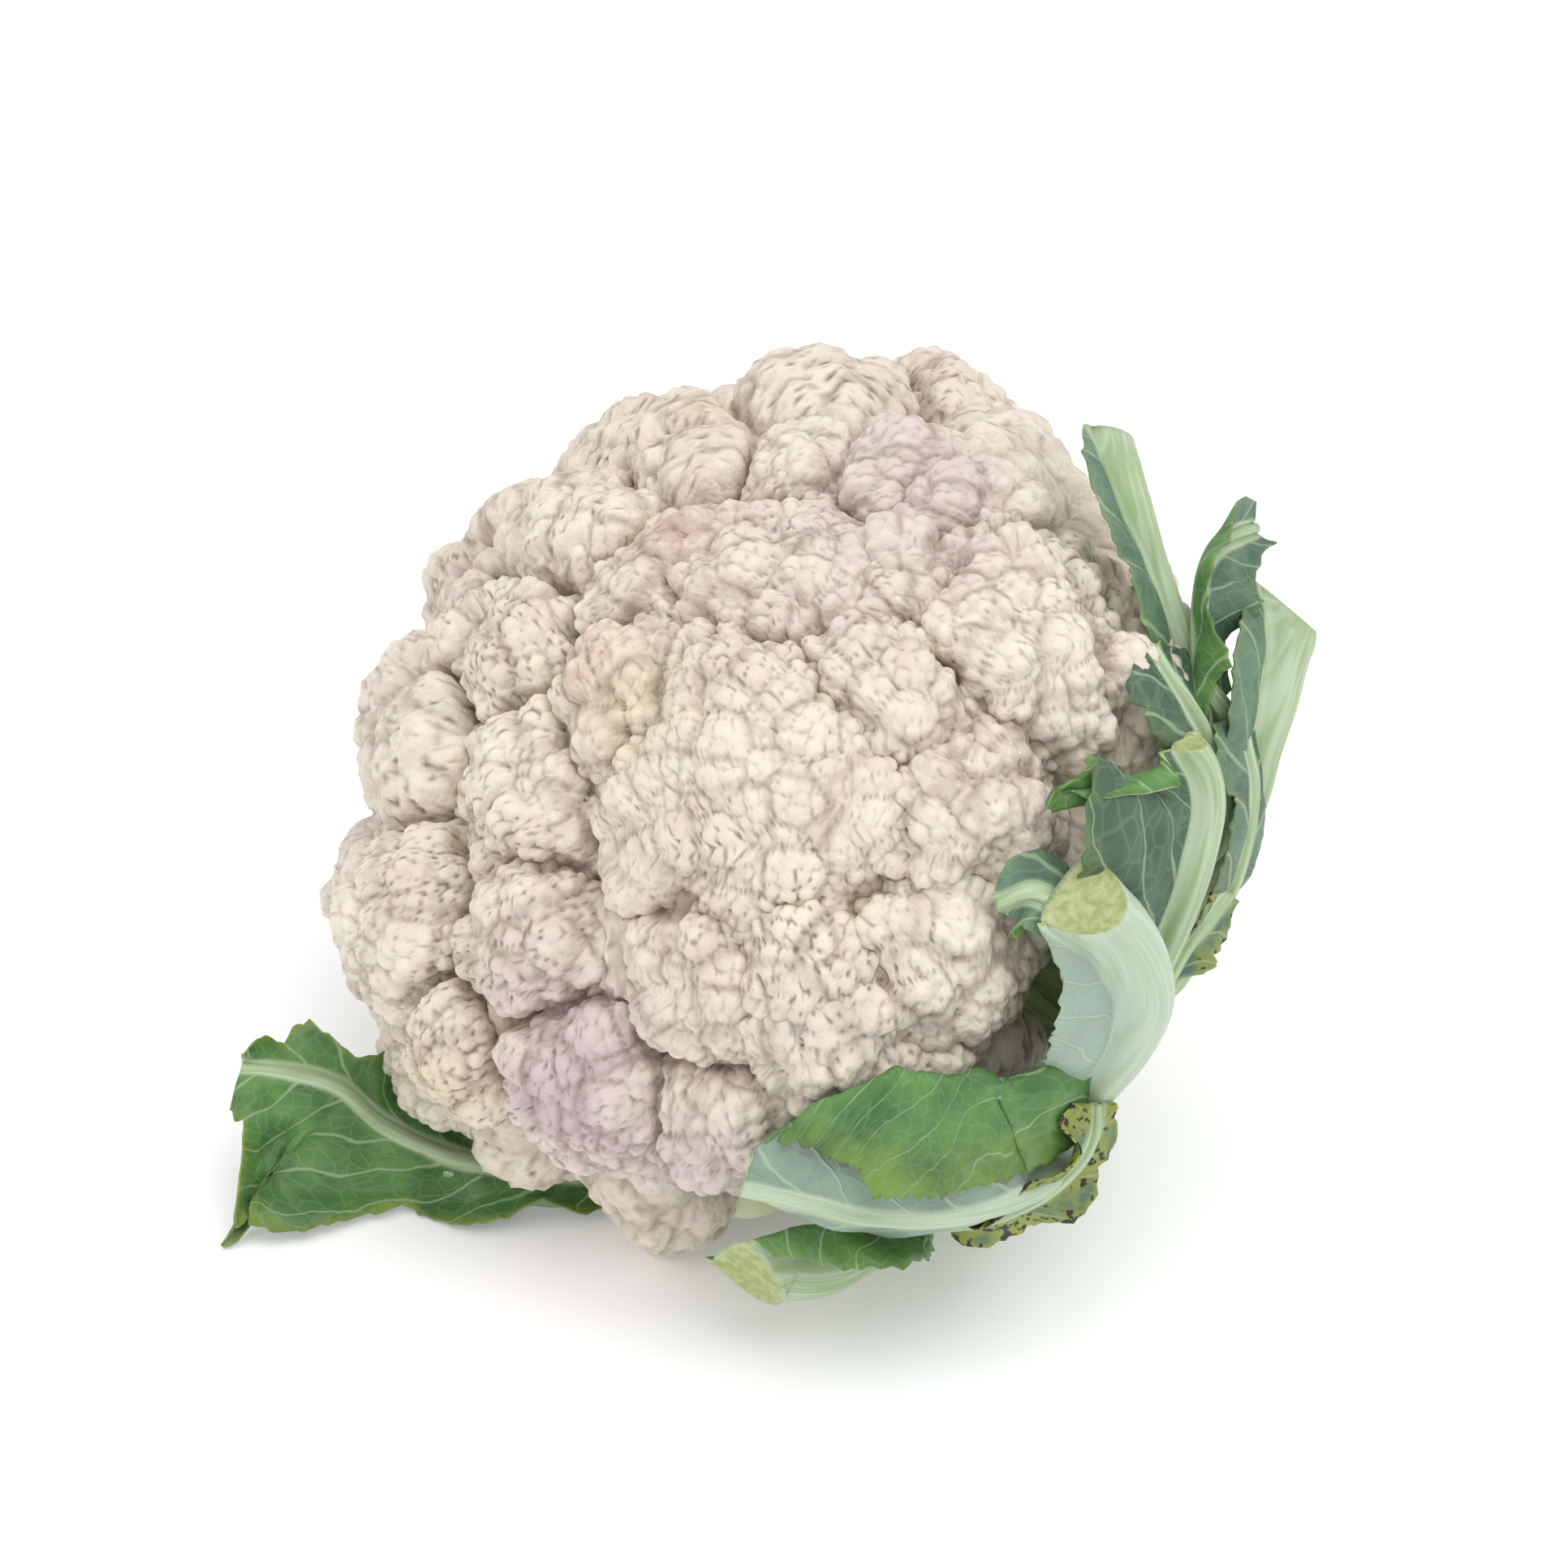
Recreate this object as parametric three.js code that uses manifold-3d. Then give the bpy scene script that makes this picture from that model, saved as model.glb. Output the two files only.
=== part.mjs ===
// A cauliflower head with its trimmed leaves, lying tilted on a flat surface.
// Millimetres, +Z up, +X to the right and +Y away as it is seen from the front.
// The origin is on the surface, under the middle of the whole head.
import * as THREE from "three";
import { mergeVertices } from "three/addons/utils/BufferGeometryUtils.js";
import Module from "manifold-3d";

const wasm = await Module();
wasm.setup();

// The head: where its centre is, which way its top points, and where azimuth 0 is
const HEAD_CENTRE = new THREE.Vector3(6.6, 3.5, 67.1);
const HEAD_AXIS = new THREE.Vector3(-0.6, -0.364, 0.716);
const NEAR_SIDE = new THREE.Vector3(0, -0.866, 0.5);
const HEAD_RADIUS = 92;
const HEAD_ABOVE = 65;
const HEAD_BELOW = 40;

// The florets that show as separate domes: polar angle and azimuth in degrees, radius and lift in mm
const FLORETS = [
  [53, -1, 35, 3],
  [58, 26, 17, 2],
  [45, 22, 12, 0],
  [43, 51, 24, -1],
  [18, -4, 17, 3],
  [28, -74, 20, 1],
  [20, -159, 14, 1],
  [18, 90, 15, 0],
  [73, 39, 21, 4],
  [84, 40, 17, 4],
  [64, 76, 17, -5],
  [54, 89, 14, -5],
  [57, 128, 12, -3],
  [57, 170, 9, 1],
  [43, -134, 14, 2],
  [56, -101, 17, 7],
  [49, -67, 14, 1],
  [69, -60, 18, 0],
  [61, -30, 18, 0],
  [77, -40, 14, -1],
  [77, -4, 17, -2],
  [67, 51, 14, -1],
  [71, 26, 12, -1],
  [66, 62, 12, -1],
  [31, 145, 14, 1],
  [64, -81, 12, 5],
  [84, -106, 17, -2],
  [76, -128, 18, 3],
  [98, -122, 15, 2],
  [62, -152, 18, 1],
  [82, -160, 18, 0],
  [68, 178, 17, 1],
  [88, 172, 17, 0],
  [72, 150, 18, -2],
  [90, 142, 16, -1],
  [72, 112, 18, -3],
  [88, 108, 16, -1],
  [44, 118, 13, -3],
  [40, -168, 14, 0],
  [44, 160, 13, 0],
];
const FILLER_COUNT = 54;
const FILLER_RADIUS = 14;
const FILLER_DEPTH = 5;
const FILLER_LOWEST = 108;
const FIRST_FILLER = 200;

// The lobes that each floret is heaped up from: their size, how many, how far down its sides they
// reach, how deep they sink into it, and how unevenly they are placed and sized
const LOBE_RADIUS = 9;
const LOBE_LARGEST_SHARE = 0.62;
const LOBES_PER_MM2 = 0.036;
const FEWEST_LOBES = 5;
const LOBE_CAP = 80;
const LOBE_SINK = 0.5;
const MIDDLE_SINK = 0.42;
const LOBE_TIP_SPREAD = 0.16;
const LOBE_TURN_SPREAD = 0.3;
const LOBE_SMALLEST = 0.82;
const LOBE_SIZE_SPREAD = 0.36;
const SEEDS_PER_FLORET = 97;
const TURN_SEED = 31;
const SIZE_SEED = 57;

// Below the florets: the core, and the branches that join it to the stalk
const CORE_DEPTH = 11;
const CORE_DEEPER_BELOW = 6;
const BRANCH_COUNT = 9;
const BRANCH_BALLS = [[26, -28, 9], [40, -26, 10], [53, -21, 11], [65, -14, 12]];
const NECK_RADIUS = 22;
const NECK_UP = -24;
const CURD_CUT_UP = -35.7;
const CURD_DETAIL = 16;

// The stalk under the head
const STALK_TOP_UP = -36;
const STALK_END_UP = -79.5;
const STALK_RADIUS = 16;
const STALK_SIDES = 20;
const STALK_RINGS = 6;
const STALK_RING_RISE = 1.2;
const STALK_EDGE = [1, 1.5];

// Leaves: how thick a blade is, what is kept free round it, and how it bends clear
const BLADE_THICKNESS = 0.9;
const RIB_INNER_SHARE = 0.14;
const NEIGHBOUR_GAP = 0.36;
const GROOVE_GAP = 0.9;
const SHIFTS = [[0.6, 0.6, 0.6], [-0.6, -0.6, 0.6], [-0.6, 0.6, -0.6], [0.6, -0.6, -0.6]];
const FLOOR_GAP = 0.3;
const FLOOR_SOFTNESS = 4;
const OUTWARD_FROM_UP = 20;
const NARROWEST_BLADE = 0.6;
const WAVE_GROWTH = 1.5;
const BEND_STEPS = 24;
const HEADING_STEP = 0.01;
const RIB_COLUMNS = [-1, -0.7, 0, 0.7, 1];

// Each leaf from its root on the stalk to its tip or cut end, the inner leaves first.
// grid: rows along it, columns across each blade; path: distance from the head's axis, height along
// it, azimuth; ribWidth and ribDepth: along the path; left and right blades: width along the path,
// the angle at which the blade leaves the rib and the angle that it turns by (positive away from the
// head), the shares of the width between which it turns, and how far it slants towards the tip;
// gap: from the florets; wave: height and count; lobes: depth and count
const LEAVES = {
  leaf_lower_left: {
    grid: [15, 4],
    path: [[18, -54, -66], [42, -40, -76], [62, -24, -84], [80, -8, -88], [90, 4, -96],
      [95, 15, -102], [95, 27, -105], [98, 36, -107], [100, 42, -109]],
    ribWidth: [9, 9, 8, 8, 7, 6, 5, 3, 2], ribDepth: [8, 8, 7, 7, 6, 5, 3, 2, 1],
    left: { width: [1, 1, 1, 4, 12, 14, 4, 6, 4], leave: -55, turn: -10, over: [0, 1], slant: 0.2 },
    right: { width: [1, 1, 2, 8, 15, 26, 36, 32, 18], leave: 70, turn: -25, over: [0.3, 1], slant: 0.12 },
    gap: -30, wave: [2, 3], lobes: [0.2, 4],
  },
  leaf_lower_front: {
    grid: [11, 2],
    path: [[18, -58, -36], [43, -54, -34], [61, -47, -35], [72, -39, -39], [76, -30, -47],
      [78, -21, -54], [79, -13, -60]],
    ribWidth: [12, 12, 13, 14, 15, 15, 15], ribDepth: [8, 9, 9, 9, 9, 9, 10],
    left: { width: [1, 1, 2, 3, 3, 3, 4], leave: -20, turn: 0, over: [0, 1], slant: 0.8 },
    right: { width: [1, 1, 2, 4, 5, 5, 3], leave: -50, turn: -20, over: [0, 1], slant: 0 },
    gap: -6, wave: [0.5, 2], lobes: [0.1, 2],
  },
  leaf_small_right: {
    grid: [9, 2],
    path: [[18, -44, 23], [50, -40, 25], [78, -24, 27], [92, -6, 30], [96, 8, 35], [92, 19, 41]],
    ribWidth: [8, 7, 6, 5, 4, 2], ribDepth: [5, 5, 4, 3, 2, 1],
    left: { width: [1, 1, 4, 9, 11, 3], leave: -5, turn: -20, over: [0, 1], slant: 0.1 },
    right: { width: [1, 1, 3, 6, 6, 2], leave: -5, turn: -20, over: [0, 1], slant: 0.1 },
    gap: 1.5, wave: [1, 2], lobes: [0.2, 3],
  },
  leaf_small_front: {
    grid: [8, 1],
    path: [[18, -44, -12], [50, -40, -8], [80, -22, -4], [94, 2, 2], [94, 18, 6], [89, 28, 7]],
    ribWidth: [7, 6, 5, 4, 3, 2], ribDepth: [5, 4, 3, 2, 2, 1],
    left: { width: [1, 1, 4, 6, 6, 2], leave: 0, turn: -20, over: [0, 1], slant: 0.1 },
    right: { width: [1, 1, 4, 6, 5, 2], leave: 0, turn: -20, over: [0, 1], slant: 0.1 },
    gap: 1.5, wave: [0.5, 2], lobes: [0.2, 3],
  },
  leaf_far_right: {
    grid: [10, 2],
    path: [[18, -44, 46], [50, -42, 46], [80, -29, 45], [94, -8, 46], [96, 12, 55], [91, 21, 66]],
    ribWidth: [9, 9, 9, 8, 8, 8], ribDepth: [6, 6, 6, 5, 5, 5],
    left: { width: [1, 1, 5, 11, 13, 6], leave: 0, turn: -15, over: [0, 1], slant: -0.2 },
    right: { width: [1, 1, 3, 5, 4, 2], leave: -20, turn: -20, over: [0, 1], slant: 0 },
    gap: 2, wave: [0.8, 2], lobes: [0.12, 3],
  },
  leaf_far_right_inner: {
    grid: [11, 3],
    path: [[18, -54, 42], [52, -50, 42], [84, -32, 42], [99, -10, 42], [103, 1, 46], [102, 9, 51],
      [110, 5, 57]],
    ribWidth: [8, 8, 7, 6, 4, 3, 2], ribDepth: [6, 5, 4, 3, 2, 1.5, 1],
    left: { width: [1, 1, 4, 9, 10, 6, 3], leave: 10, turn: 10, over: [0, 1], slant: 0.1 },
    right: { width: [1, 1, 4, 9, 12, 8, 4], leave: 10, turn: 40, over: [0, 1], slant: 0.1 },
    gap: 5, wave: [2, 3], lobes: [0.25, 5],
  },
  leaf_right_thick: {
    grid: [11, 2],
    path: [[18, -47, -30], [50, -38, -27], [74, -23, -21], [91, -11, -12], [101, 0, -2], [102, 12, 4],
      [94, 26, 8]],
    ribWidth: [12, 13, 15, 17, 18, 19, 21], ribDepth: [8, 9, 10, 11, 12, 12, 12],
    left: { width: [1, 1, 4, 11, 13, 10, 2], leave: 5, turn: -35, over: [0, 1], slant: -0.2 },
    right: { width: [1, 1, 2, 3, 3, 2, 1], leave: -20, turn: -20, over: [0, 1], slant: 0 },
    gap: 2.5, wave: [0.8, 2], lobes: [0.1, 3],
  },
  leaf_right_curled: {
    grid: [12, 3],
    path: [[18, -50, -2], [52, -44, 1], [82, -28, 4], [99, -10, 9], [104, 0, 16], [103, 5, 24],
      [99, 12, 30]],
    ribWidth: [11, 11, 11, 10, 9, 9, 8], ribDepth: [7, 7, 6, 6, 5, 5, 4],
    left: { width: [1, 2, 6, 18, 29, 34, 30], leave: -8, turn: -40, over: [0, 1], slant: -0.1 },
    right: { width: [1, 1, 2, 3, 4, 4, 2], leave: 0, turn: -20, over: [0, 1], slant: 0 },
    gap: 1.5, wave: [1.5, 2], lobes: [0.12, 4],
  },
  leaf_right_broad: {
    grid: [10, 3],
    path: [[18, -60, 10], [52, -54, 13], [82, -36, 16], [98, -14, 20], [101, -3, 27], [99, 3, 35]],
    ribWidth: [8, 8, 7, 5, 4, 3], ribDepth: [6, 5, 4, 3, 2, 1],
    left: { width: [1, 1, 5, 10, 12, 8], leave: 0, turn: -15, over: [0, 1], slant: 0.1 },
    right: { width: [1, 1, 4, 6, 5, 3], leave: 0, turn: -15, over: [0, 1], slant: 0.1 },
    gap: 4, wave: [0.6, 2], lobes: [0.1, 3],
  },
  leaf_right_tall: {
    grid: [9, 2],
    path: [[18, -70, 24], [50, -62, 26], [78, -42, 28], [92, -20, 33], [100, -12, 43], [104, -5, 54]],
    ribWidth: [12, 12, 11, 11, 12, 13], ribDepth: [8, 9, 9, 9, 9, 8],
    left: { width: [1, 1, 5, 10, 10, 2], leave: 0, turn: -20, over: [0, 1], slant: 0.2 },
    right: { width: [1, 1, 2, 3, 4, 1], leave: -20, turn: -40, over: [0, 1], slant: 0 },
    gap: 8, wave: [0.6, 2], lobes: [0.1, 3],
  },
  leaf_right_yellowed: {
    grid: [9, 2],
    path: [[18, -72, 0], [52, -66, 4], [80, -46, 8], [97, -20, 11], [103, -9, 16], [103, -5, 21]],
    ribWidth: [8, 7, 6, 5, 3, 2], ribDepth: [5, 5, 4, 3, 2, 1],
    left: { width: [1, 1, 3, 5, 6, 4], leave: 0, turn: -10, over: [0, 1], slant: 0.2 },
    right: { width: [1, 1, 3, 6, 7, 4], leave: 0, turn: -10, over: [0, 1], slant: 0.2 },
    gap: 5, wave: [1, 3], lobes: [0.25, 4],
  },
  leaf_lower_folded: {
    grid: [12, 4],
    path: [[18, -63, -14], [48, -54, -12], [78, -32, -8], [98, -10, -9], [105, 3, -15], [104, 12, -25],
      [98, 20, -36], [93, 24, -43]],
    ribWidth: [10, 10, 10, 9, 8, 6, 4, 2], ribDepth: [7, 7, 7, 6, 4, 3, 2, 1],
    left: { width: [1, 1, 1, 4, 9, 16, 6, 2], leave: 25, turn: 20, over: [0, 1], slant: 0.2 },
    right: { width: [1, 1, 6, 20, 46, 54, 40, 8], leave: -40, turn: 185, over: [0.4, 0.58], slant: 0 },
    gap: 3, wave: [1, 2], lobes: [0.14, 4],
  },
  leaf_lower_yellowed: {
    grid: [11, 3],
    path: [[18, -74, -24], [48, -66, -22], [74, -48, -20], [92, -28, -16], [99, -18, -12], [101, -12, -8]],
    ribWidth: [9, 9, 8, 6, 4, 3], ribDepth: [7, 6, 5, 4, 2, 1],
    left: { width: [1, 1, 5, 11, 13, 8], leave: 5, turn: 10, over: [0, 1], slant: 0.1 },
    right: { width: [1, 1, 4, 8, 10, 6], leave: 5, turn: 20, over: [0, 1], slant: 0.1 },
    gap: 5, wave: [2, 3], lobes: [0.25, 5],
  },
  leaf_back_right: {
    grid: [8, 2],
    path: [[18, -60, 104], [48, -57, 106], [70, -48, 108], [81, -33, 109]],
    ribWidth: [11, 12, 13, 14], ribDepth: [8, 9, 9, 9],
    left: { width: [1, 2, 7, 8], leave: -15, turn: -20, over: [0, 1], slant: 0 },
    right: { width: [1, 2, 10, 12], leave: -15, turn: -20, over: [0, 1], slant: 0 },
    gap: 2, wave: [1, 2], lobes: [0.12, 3],
  },
  leaf_back_top: {
    grid: [9, 2],
    path: [[18, -54, 126], [50, -50, 126], [77, -36, 125], [89, -16, 124]],
    ribWidth: [10, 11, 12, 13], ribDepth: [7, 8, 8, 8],
    left: { width: [1, 3, 12, 16], leave: -15, turn: -25, over: [0, 1], slant: 0 },
    right: { width: [1, 3, 12, 14], leave: -15, turn: -25, over: [0, 1], slant: 0 },
    gap: 2, wave: [1.2, 2], lobes: [0.12, 3],
  },
  leaf_back_left: {
    grid: [9, 2],
    path: [[18, -50, 164], [50, -48, 165], [80, -34, 165], [95, -12, 164], [97, 6, 162]],
    ribWidth: [10, 10, 10, 10, 9], ribDepth: [7, 7, 7, 7, 6],
    left: { width: [1, 2, 12, 20, 16], leave: -10, turn: -25, over: [0, 1], slant: 0 },
    right: { width: [1, 2, 12, 18, 14], leave: -10, turn: -25, over: [0, 1], slant: 0 },
    gap: 2, wave: [1.5, 2], lobes: [0.14, 4],
  },
  leaf_back_low: {
    grid: [9, 2],
    path: [[18, -60, -158], [44, -57, -158], [66, -51, -159], [86, -30, -160], [95, -8, -162]],
    ribWidth: [11, 12, 13, 13, 12], ribDepth: [8, 9, 9, 9, 9],
    left: { width: [1, 2, 8, 16, 14], leave: -15, turn: -25, over: [0, 1], slant: 0 },
    right: { width: [1, 2, 8, 16, 14], leave: -15, turn: -25, over: [0, 1], slant: 0 },
    gap: 3, wave: [1, 2], lobes: [0.12, 3],
  },
};
// The leaves that the head lies on, which press a groove in the florets above them
const UNDER_CURD = ["leaf_lower_left", "leaf_lower_front"];

const RAD = Math.PI / 180;
const GOLDEN_ANGLE = 137.508 * RAD;
const MERGE_DISTANCE = 1e-4;
const SLIVER = 0.02;
const CUT_BOX_SIDE = 600;
const CUT_BOX_DEPTH = 300;

const CURD_FINISH = new THREE.MeshStandardMaterial({ color: 0xded4c4, roughness: 0.75, metalness: 0 });
const LEAF_FINISH = new THREE.MeshStandardMaterial({ color: 0x6f9a66, roughness: 0.5, metalness: 0 });
const STALK_FINISH = new THREE.MeshStandardMaterial({ color: 0xc9d6ae, roughness: 0.5, metalness: 0 });

// The head's own directions: its axis, azimuth 0 and azimuth 90
const UP = HEAD_AXIS.clone().normalize();
const AZIMUTH_0 = NEAR_SIDE.clone().addScaledVector(UP, -NEAR_SIDE.dot(UP)).normalize();
const AZIMUTH_90 = UP.clone().cross(AZIMUTH_0);

// A fixed number from 0 to 1 for each whole number, so that every build is alike
function chance(n) {
  const v = Math.sin(n * 12.9898 + 4.1414) * 43758.5453;
  return v - Math.floor(v);
}

// A point given by its distance from the head's axis, its height along it and its azimuth
function fromHead(out, up, azimuth) {
  const a = azimuth * RAD;
  return HEAD_CENTRE.clone()
    .addScaledVector(AZIMUTH_0, out * Math.cos(a))
    .addScaledVector(AZIMUTH_90, out * Math.sin(a))
    .addScaledVector(UP, up);
}

function toHead(point) {
  const p = point.clone().sub(HEAD_CENTRE);
  return new THREE.Vector3(p.dot(AZIMUTH_0), p.dot(AZIMUTH_90), p.dot(UP));
}

// The direction at a polar angle from the axis and an azimuth, in the head's own x, y and z
function headDirection(polar, azimuth) {
  const p = polar * RAD;
  const a = azimuth * RAD;
  return new THREE.Vector3(Math.sin(p) * Math.cos(a), Math.sin(p) * Math.sin(a), Math.cos(p));
}

// The distance from the head's centre to the ellipsoid that the florets reach
function headReach(d) {
  const tall = d.z > 0 ? HEAD_ABOVE : HEAD_BELOW;
  return 1 / Math.sqrt((d.x * d.x + d.y * d.y) / HEAD_RADIUS ** 2 + (d.z * d.z) / tall ** 2);
}

// Ball-shaped lobes of one floret, in the head's own x, y and z
function lobesOf(index, polar, azimuth, radius, lift) {
  const d = headDirection(polar, azimuth);
  const size = Math.min(LOBE_RADIUS, LOBE_LARGEST_SHARE * radius);
  const centre = d.clone().multiplyScalar(headReach(d) - radius - (1 - LOBE_SINK) * size + lift);
  const side = new THREE.Vector3(0, 0, 1).cross(d).normalize();
  const front = d.clone().cross(side);
  const count = Math.max(FEWEST_LOBES, Math.round(LOBES_PER_MM2 * radius * radius));
  const lobes = [{ centre: centre.clone(), radius: radius - MIDDLE_SINK * size }];
  for (let i = 0; i < count; i++) {
    const seed = index * SEEDS_PER_FLORET + i;
    const z = 1 - ((i + 0.5) / count) * (1 - Math.cos(LOBE_CAP * RAD));
    const tip = Math.acos(z) + (chance(seed) - 0.5) * LOBE_TIP_SPREAD;
    const turn = i * GOLDEN_ANGLE + index + (chance(seed + TURN_SEED) - 0.5) * LOBE_TURN_SPREAD;
    const lobe = size * (LOBE_SMALLEST + LOBE_SIZE_SPREAD * chance(seed + SIZE_SEED));
    const away = d.clone().multiplyScalar(Math.cos(tip))
      .addScaledVector(side, Math.sin(tip) * Math.cos(turn))
      .addScaledVector(front, Math.sin(tip) * Math.sin(turn));
    lobes.push({ centre: centre.clone().addScaledVector(away, radius - LOBE_SINK * size), radius: lobe });
  }
  return lobes;
}

// Every ball of the curd: named florets, small ones between them, the neck and the branches
function curdBalls() {
  const balls = [];
  FLORETS.forEach(([polar, azimuth, radius, lift], i) => {
    balls.push(...lobesOf(i + 1, polar, azimuth, radius, lift));
  });
  for (let i = 0; i < FILLER_COUNT; i++) {
    const z = 1 - ((i + 0.5) / FILLER_COUNT) * (1 - Math.cos(FILLER_LOWEST * RAD));
    const polar = Math.acos(z) / RAD;
    const azimuth = (i * GOLDEN_ANGLE) / RAD;
    balls.push(...lobesOf(FIRST_FILLER + i, polar, azimuth, FILLER_RADIUS, -FILLER_DEPTH));
  }
  balls.push({ centre: new THREE.Vector3(0, 0, NECK_UP), radius: NECK_RADIUS });
  for (let i = 0; i < BRANCH_COUNT; i++) {
    const turn = ((i + 0.5) * 360) / BRANCH_COUNT;
    for (const [out, up, radius] of BRANCH_BALLS) {
      const a = turn * RAD;
      balls.push({ centre: new THREE.Vector3(out * Math.cos(a), out * Math.sin(a), up), radius });
    }
  }
  return balls;
}

// How far a ray from the head's centre runs before it leaves the last ball
function reachOf(balls, d) {
  let reach = headReach(d) - CORE_DEPTH - CORE_DEEPER_BELOW * Math.max(0, -d.z);
  for (const { centre, radius } of balls) {
    const along = centre.dot(d);
    const inside = along * along - centre.lengthSq() + radius * radius;
    if (inside > 0 && along > 0) reach = Math.max(reach, along + Math.sqrt(inside));
  }
  return reach;
}

// A closed mesh as a solid, and a solid as a geometry
function solidOf(geometry) {
  const merged = mergeVertices(geometry, MERGE_DISTANCE);
  return new wasm.Manifold(new wasm.Mesh({
    numProp: 3,
    vertProperties: new Float32Array(merged.attributes.position.array),
    triVerts: new Uint32Array(merged.index.array),
  }));
}

function geometryOf(solid) {
  const m = solid.getMesh();
  const points = new Float32Array(m.numVert * 3);
  for (let i = 0; i < m.numVert; i++) {
    points.set(m.vertProperties.subarray(i * m.numProp, i * m.numProp + 3), i * 3);
  }
  const geometry = new THREE.BufferGeometry();
  geometry.setAttribute("position", new THREE.BufferAttribute(points, 3));
  geometry.setIndex(new THREE.BufferAttribute(new Uint32Array(m.triVerts), 1));
  return geometry;
}

// A box turned into a solid, by which everything below the surface is cut away
function halfSpaceBelow(matrix) {
  const geometry = new THREE.BoxGeometry(CUT_BOX_SIDE, CUT_BOX_SIDE, CUT_BOX_DEPTH);
  geometry.translate(0, 0, -CUT_BOX_DEPTH / 2);
  geometry.applyMatrix4(matrix);
  geometry.deleteAttribute("normal");
  geometry.deleteAttribute("uv");
  return solidOf(geometry);
}

const BELOW_FLOOR = halfSpaceBelow(new THREE.Matrix4());

// The main body that cuts have left, without their slivers
function largestBody(solid) {
  const bodies = solid.asOriginal().simplify(SLIVER).decompose();
  bodies.sort((a, b) => b.volume() - a.volume());
  return bodies[0];
}

function curdSolid(grown) {
  const balls = curdBalls();
  const geometry = new THREE.IcosahedronGeometry(1, CURD_DETAIL);
  geometry.deleteAttribute("normal");
  geometry.deleteAttribute("uv");
  const ball = mergeVertices(geometry, MERGE_DISTANCE);
  const position = ball.attributes.position;
  const d = new THREE.Vector3();
  for (let i = 0; i < position.count; i++) {
    d.fromBufferAttribute(position, i).normalize();
    const reach = reachOf(balls, d) + grown;
    const p = HEAD_CENTRE.clone()
      .addScaledVector(AZIMUTH_0, d.x * reach)
      .addScaledVector(AZIMUTH_90, d.y * reach)
      .addScaledVector(UP, d.z * reach);
    position.setXYZ(i, p.x, p.y, p.z);
  }
  const placed = new THREE.Matrix4().makeBasis(AZIMUTH_0, AZIMUTH_90, UP);
  placed.setPosition(HEAD_CENTRE.clone().addScaledVector(UP, CURD_CUT_UP - grown));
  return solidOf(ball).subtract(halfSpaceBelow(placed)).subtract(BELOW_FLOOR);
}

// A smooth line through evenly spaced points, each a list of numbers, at a share s of its length
function through(points, s) {
  const last = points.length - 1;
  const k = Math.min(Math.max(Math.floor(s * last), 0), last - 1);
  const f = s * last - k;
  return points[0].map((_, i) => {
    const b = points[k][i];
    const c = points[k + 1][i];
    const a = k > 0 ? points[k - 1][i] : 2 * b - c;
    const d = k + 2 <= last ? points[k + 2][i] : 2 * c - b;
    return 0.5 * (2 * b + (c - a) * f + (2 * a - 5 * b + 4 * c - d) * f * f
      + (3 * b - a - 3 * c + d) * f * f * f);
  });
}

function along(values, s) {
  return Math.max(NARROWEST_BLADE, through(values.map((v) => [v]), s)[0]);
}

function smooth(from, to, x) {
  const t = Math.min(Math.max((x - from) / (to - from), 0), 1);
  return t * t * (3 - 2 * t);
}

// Across and outward places on a blade that bends as it leaves the rib, and its last heading
function bend(blade, width, share) {
  let across = 0;
  let outward = 0;
  let heading = blade.leave * RAD;
  for (let i = 0; i < BEND_STEPS; i++) {
    const u = (share * (i + 0.5)) / BEND_STEPS;
    heading = (blade.leave + blade.turn * smooth(blade.over[0], blade.over[1], u)) * RAD;
    across += (Math.cos(heading) * width * share) / BEND_STEPS;
    outward += (Math.sin(heading) * width * share) / BEND_STEPS;
  }
  return [across, outward, heading];
}

// Pushed out of the ellipsoid that the florets reach, and up off the surface
function bentClear(point, gap) {
  const h = toHead(point);
  const distance = h.length();
  const reach = headReach(h.clone().normalize()) + gap;
  const p = distance < reach
    ? point.clone().sub(HEAD_CENTRE).multiplyScalar(reach / distance).add(HEAD_CENTRE)
    : point.clone();
  const soft = FLOOR_GAP + FLOOR_SOFTNESS;
  if (p.z < soft) p.z = FLOOR_GAP + FLOOR_SOFTNESS * Math.exp((p.z - soft) / FLOOR_SOFTNESS);
  return p;
}

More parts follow.
